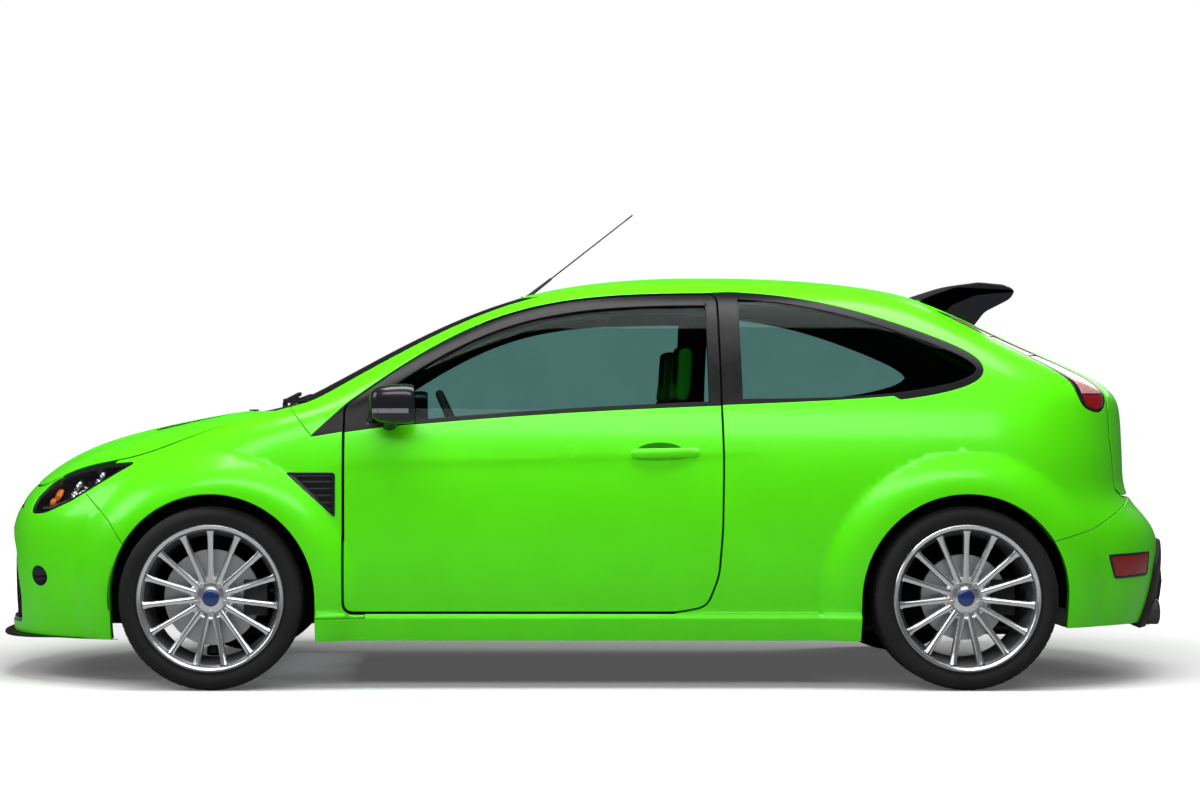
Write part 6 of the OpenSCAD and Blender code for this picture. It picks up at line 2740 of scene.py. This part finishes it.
@dataclass
class Fittings(Assembly):
    """Aerial, wipers, side vents and the pieces under the car."""

    frame_nodes: dict[str, bpy.types.Object] = field(default_factory=dict)
    aerial_x: float = -228.0
    aerial_rake: float = 52.0
    liner_z: float = 374.0
    liner_low: float = 205.0
    vent: Points = ((-1075, 762), (-900, 762), (-900, 602))
    bar_z: tuple[float, float, float] = (626, 750, 24)
    bar_high: float = 9.0

    def build(self) -> None:
        """Makes the small fittings and finishes what shows from below."""
        self.attach_set(self.aerial(), "body", "aerial")
        Kept.finish(self.frame_nodes["wipers"], SATIN_BLACK, 2.0)
        for name, finish in (
            ("body_shell", LINER), ("engine_block", IRON), ("front_subframe", SATIN_BLACK),
            ("rear_axle", SATIN_BLACK), ("exhaust", PIPE), ("knuckle_left", IRON), ("knuckle_right", IRON),
        ):
            Kept.finish(self.frame_nodes[name], finish)
        self.attach(self.side_vents(), "body")
        self.attach(self.arch_liners(), "body")

    def aerial(self) -> list[bpy.types.Object]:
        """Raked whip aerial with a black foot and tip.

        Returns:
            The objects, linked into the scene.
        """
        z = float(self.skin.top_z(np.array([self.aerial_x]), np.array([0.0]))[0])
        start = np.array([self.aerial_x, 0, z + 2])
        rake = math.radians(self.aerial_rake)
        way = np.array([math.sin(rake), 0, math.cos(rake)])
        foot = Shapes.tube([start - [0, 0, 6], start + [0, 0, 3], start + [2, 0, 10]], [19, 18, 12], 32)
        lower = Shapes.tube([start + 2 * way, start + 60 * way, start + 132 * way], [8, 6.6, 5], 16)
        mast = Shapes.tube([start + 130 * way, start + 500 * way], [3.0, 2.6], 10)
        tip = Shapes.tube([start + 496 * way, start + 528 * way], [3, 3], 10)
        return [
            Shapes.make("aerial_foot", *Shapes.join([foot, lower]), SATIN_BLACK, corner=50),
            Shapes.make("aerial_mast", *mast, SATIN_BLACK, corner=60),
            Shapes.make("aerial_tip", *tip, SATIN_BLACK, corner=60),
        ]

    def arch_liners(self) -> bpy.types.Object:
        """Dark linings of the wheel arches, wider at the front where the wheels steer.

        Returns:
            The object, linked into the scene.
        """
        solids = []
        t = np.linspace(-0.12, math.pi + 0.12, 49)
        front = (self.skin.axle_front, 500, 402, ((640, 402), (740, 402), (812, 368), (840, 367)))
        rear = (self.skin.axle_rear, 604, 371, ((612, 371), (740, 371), (840, 368), (852, 367)))
        for axle, inner, wide, stations in (front, rear):
            for s in (-1, 1):
                rings = []
                for y, rx in stations:
                    rz = min(rx, self.liner_z)
                    edge = [(axle + rx * math.cos(a), s * y, self.skin.hub_z + rz * math.sin(a)) for a in t]
                    rings.append(np.array(edge))
                solids.append(Shapes.loft(rings, closed=False, caps=False))
                y = s * inner
                high = self.liner_z
                wall = [(axle + wide * math.cos(a), y, self.skin.hub_z + high * math.sin(a)) for a in t]
                low = [(axle - wide, y, self.liner_low), (axle + wide, y, self.liner_low)]
                solids.append((np.array(wall + low), [list(range(len(wall) + 2))]))
        return Shapes.make("arch_liners", *Shapes.join(solids), LINER, corner=50)

    def side_vents(self) -> bpy.types.Object:
        """Black triangular vents behind the front wheels.

        Returns:
            The object, linked into the scene.
        """
        loop = rounded(self.vent, 14)
        inner = grown(loop, -12)
        mesh = Mesh()
        for side in Side:
            sizes = {"side": side.value, "step": 12.0, "edge": 8.0}
            self.layer(mesh, 0, Chart.SIDE, [loop], [inner], depth=8.0, sink=-3.0, roll=2.0, **sizes)
            self.layer(mesh, 1, Chart.SIDE, [inner], depth=2.0, sink=-0.6, roll=0.4, **sizes)
            for z in np.arange(*self.bar_z):
                top = z + self.bar_high
                bar = np.array([(-1200, z), (-800, z), (-800, top), (-1200, top)], float)
                self.layer(mesh, 0, Chart.SIDE, [inner, bar], depth=4.0, sink=-2.6, roll=1.5, **sizes)
        return mesh.build("side_vents", [GLOSS_BLACK, LINER])


@dataclass(frozen=True)
class SoftLight:
    """A large rectangular light, with place and target in millimetres and size in metres."""

    name: str
    place: tuple[float, float, float]
    target: tuple[float, float, float]
    size: tuple[float, float]
    power: float


@dataclass
class Studio:
    """Pale room with soft lights, and the camera at the photo's place."""

    camera_at: tuple[float, float, float] = (-359.0, -9750.0, 927.0)
    focal_px: float = 2540.0
    centre_px: tuple[float, float] = (490.0, 425.0)
    picture_px: tuple[int, int] = (1200, 800)
    sensor_mm: float = 36.0
    floor_glow: tuple[float, float] = (0.08, 1.0)
    floor_reach: tuple[float, float] = (2.3, 5.5)
    world_light: float = 0.2
    mirror_light: float = 0.07
    floor_white: float = 0.85
    floor_bounce: float = 0.3
    floor_half: float = 60000.0
    view_end: float = 200.0
    soft_lights: tuple[SoftLight, ...] = (
        SoftLight("top_light", (200, -1300, 4600), (200, -600, 700), (5.5, 2.2), 300.0),
        SoftLight("side_light", (-900, -6500, 4600), (0, -900, 700), (8.0, 1.6), 235.0),
        SoftLight("rear_light", (4500, 4500, 3800), (0, 0, 800), (3.0, 3.0), 80.0),
        SoftLight("nose_light", (-5500, -1500, 3000), (-1500, 0, 500), (2.0, 2.0), 60.0),
    )

    def build(self) -> None:
        """Makes the floor, the world, the lights and the camera."""
        self.floor()
        self.world()
        self.lights()
        self.camera()

    def floor(self) -> None:
        """White floor that keeps the car's shadow and glows further out, where it meets the white world."""
        half = self.floor_half
        points = [(-half, -half, 0), (half, -half, 0), (half, half, 0), (-half, half, 0)]
        plane = Shapes.make("floor", points, [[0, 1, 2, 3]], FLOOR)
        tree = plane.data.materials[0].node_tree
        shader = tree.nodes["Principled BSDF"]
        shader.inputs["Emission Color"].default_value = (1, 1, 1, 1)
        tree.links.new(self.shown(tree, self.floor_white, self.floor_bounce), shader.inputs["Base Color"])
        place = tree.nodes.new("ShaderNodeTexCoord")
        away = tree.nodes.new("ShaderNodeVectorMath")
        away.operation = "LENGTH"
        tree.links.new(place.outputs["Object"], away.inputs[0])
        rise = tree.nodes.new("ShaderNodeMapRange")
        rise.interpolation_type = "SMOOTHSTEP"
        rise.inputs["From Min"].default_value, rise.inputs["From Max"].default_value = self.floor_reach
        rise.inputs["To Min"].default_value, rise.inputs["To Max"].default_value = self.floor_glow
        tree.links.new(away.outputs["Value"], rise.inputs["Value"])
        strength = self.shown(tree, 1.0, 0.0)
        scaled = tree.nodes.new("ShaderNodeMath")
        scaled.operation = "MULTIPLY"
        tree.links.new(strength, scaled.inputs[0])
        tree.links.new(rise.outputs["Result"], scaled.inputs[1])
        tree.links.new(scaled.outputs["Value"], shader.inputs["Emission Strength"])

    def shown(self, tree: bpy.types.NodeTree, seen: float, lit: float) -> bpy.types.NodeSocket:
        """A strength for what the camera and glass see, and another for the light that is given.

        Args:
            tree: Node tree of a material or of the world.
            seen: Strength for camera and transmission rays.
            lit: Strength for the rest.

        Returns:
            The socket with the strength.
        """
        path = tree.nodes.new("ShaderNodeLightPath")
        largest = tree.nodes.new("ShaderNodeMath")
        largest.operation = "MAXIMUM"
        tree.links.new(path.outputs["Is Camera Ray"], largest.inputs[0])
        tree.links.new(path.outputs["Is Transmission Ray"], largest.inputs[1])
        choose = tree.nodes.new("ShaderNodeMapRange")
        choose.inputs["To Min"].default_value = lit
        choose.inputs["To Max"].default_value = seen
        tree.links.new(largest.outputs["Value"], choose.inputs["Value"])
        return choose.outputs["Result"]

    def world(self) -> None:
        """World that is white to the camera and through glass, and gives a little soft light."""
        world = bpy.data.worlds.new("studio")
        world.use_nodes = True
        bpy.context.scene.world = world
        tree = world.node_tree
        background = tree.nodes["Background"]
        background.inputs["Color"].default_value = (1, 1, 1, 1)
        path = tree.nodes.new("ShaderNodeLightPath")
        dimmed = tree.nodes.new("ShaderNodeMath")
        dimmed.operation = "MULTIPLY_ADD"
        dimmed.inputs[1].default_value = self.mirror_light - self.world_light
        tree.links.new(path.outputs["Is Glossy Ray"], dimmed.inputs[0])
        tree.links.new(self.shown(tree, 1.0, self.world_light), dimmed.inputs[2])
        tree.links.new(dimmed.outputs["Value"], background.inputs["Strength"])

    def lights(self) -> None:
        """Large soft lights over and beside the car."""
        for light in self.soft_lights:
            lamp = bpy.data.lights.new(light.name, "AREA")
            lamp.shape = "RECTANGLE"
            lamp.size, lamp.size_y = light.size
            lamp.energy = light.power
            obj = bpy.data.objects.new(light.name, lamp)
            place = Vector(light.place)
            obj.location = place * MM
            obj.rotation_euler = (Vector(light.target) - place).to_track_quat("-Z", "Y").to_euler()
            bpy.context.scene.collection.objects.link(obj)

    def camera(self) -> None:
        """Camera with the photo's place, lens and picture centre."""
        scene = bpy.context.scene
        wide, high = self.picture_px
        data = bpy.data.cameras.new("photo_camera")
        data.sensor_width = self.sensor_mm
        data.lens = self.focal_px * self.sensor_mm / wide
        data.shift_x = (wide / 2 - self.centre_px[0]) / wide
        data.shift_y = (self.centre_px[1] - high / 2) / wide
        data.clip_end = self.view_end
        obj = bpy.data.objects.new("photo_camera", data)
        obj.location = Vector(self.camera_at) * MM
        obj.rotation_euler = (math.radians(90), 0, 0)
        scene.collection.objects.link(obj)
        scene.camera = obj
        scene.view_settings.view_transform = "Standard"


def main() -> None:
    """Builds the car over the frame and sets the studio."""
    logging.basicConfig(level=logging.INFO, format="%(message)s")
    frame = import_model()
    skin = Skin()
    lines = Outlines(skin)
    assemblies: list[Assembly] = [
        Shell(skin, lines), Nose(skin, lines), Bonnet(skin, lines), Tail(skin, lines),
        Tailgate(skin, lines),
    ]
    assemblies += [Door(skin, lines, side=side) for side in Side]
    assemblies += [RoadWheel(skin, lines, end=end, side=side) for end in ("front", "rear") for side in Side]
    assemblies += [
        Cabin(skin, lines, frame_nodes=frame["nodes"]), Fittings(skin, lines, frame_nodes=frame["nodes"]),
    ]
    for assembly in assemblies:
        assembly.build()
        LOG.info("built %s", type(assembly).__name__)
    Studio().build()


if __name__ == "__main__":
    main()
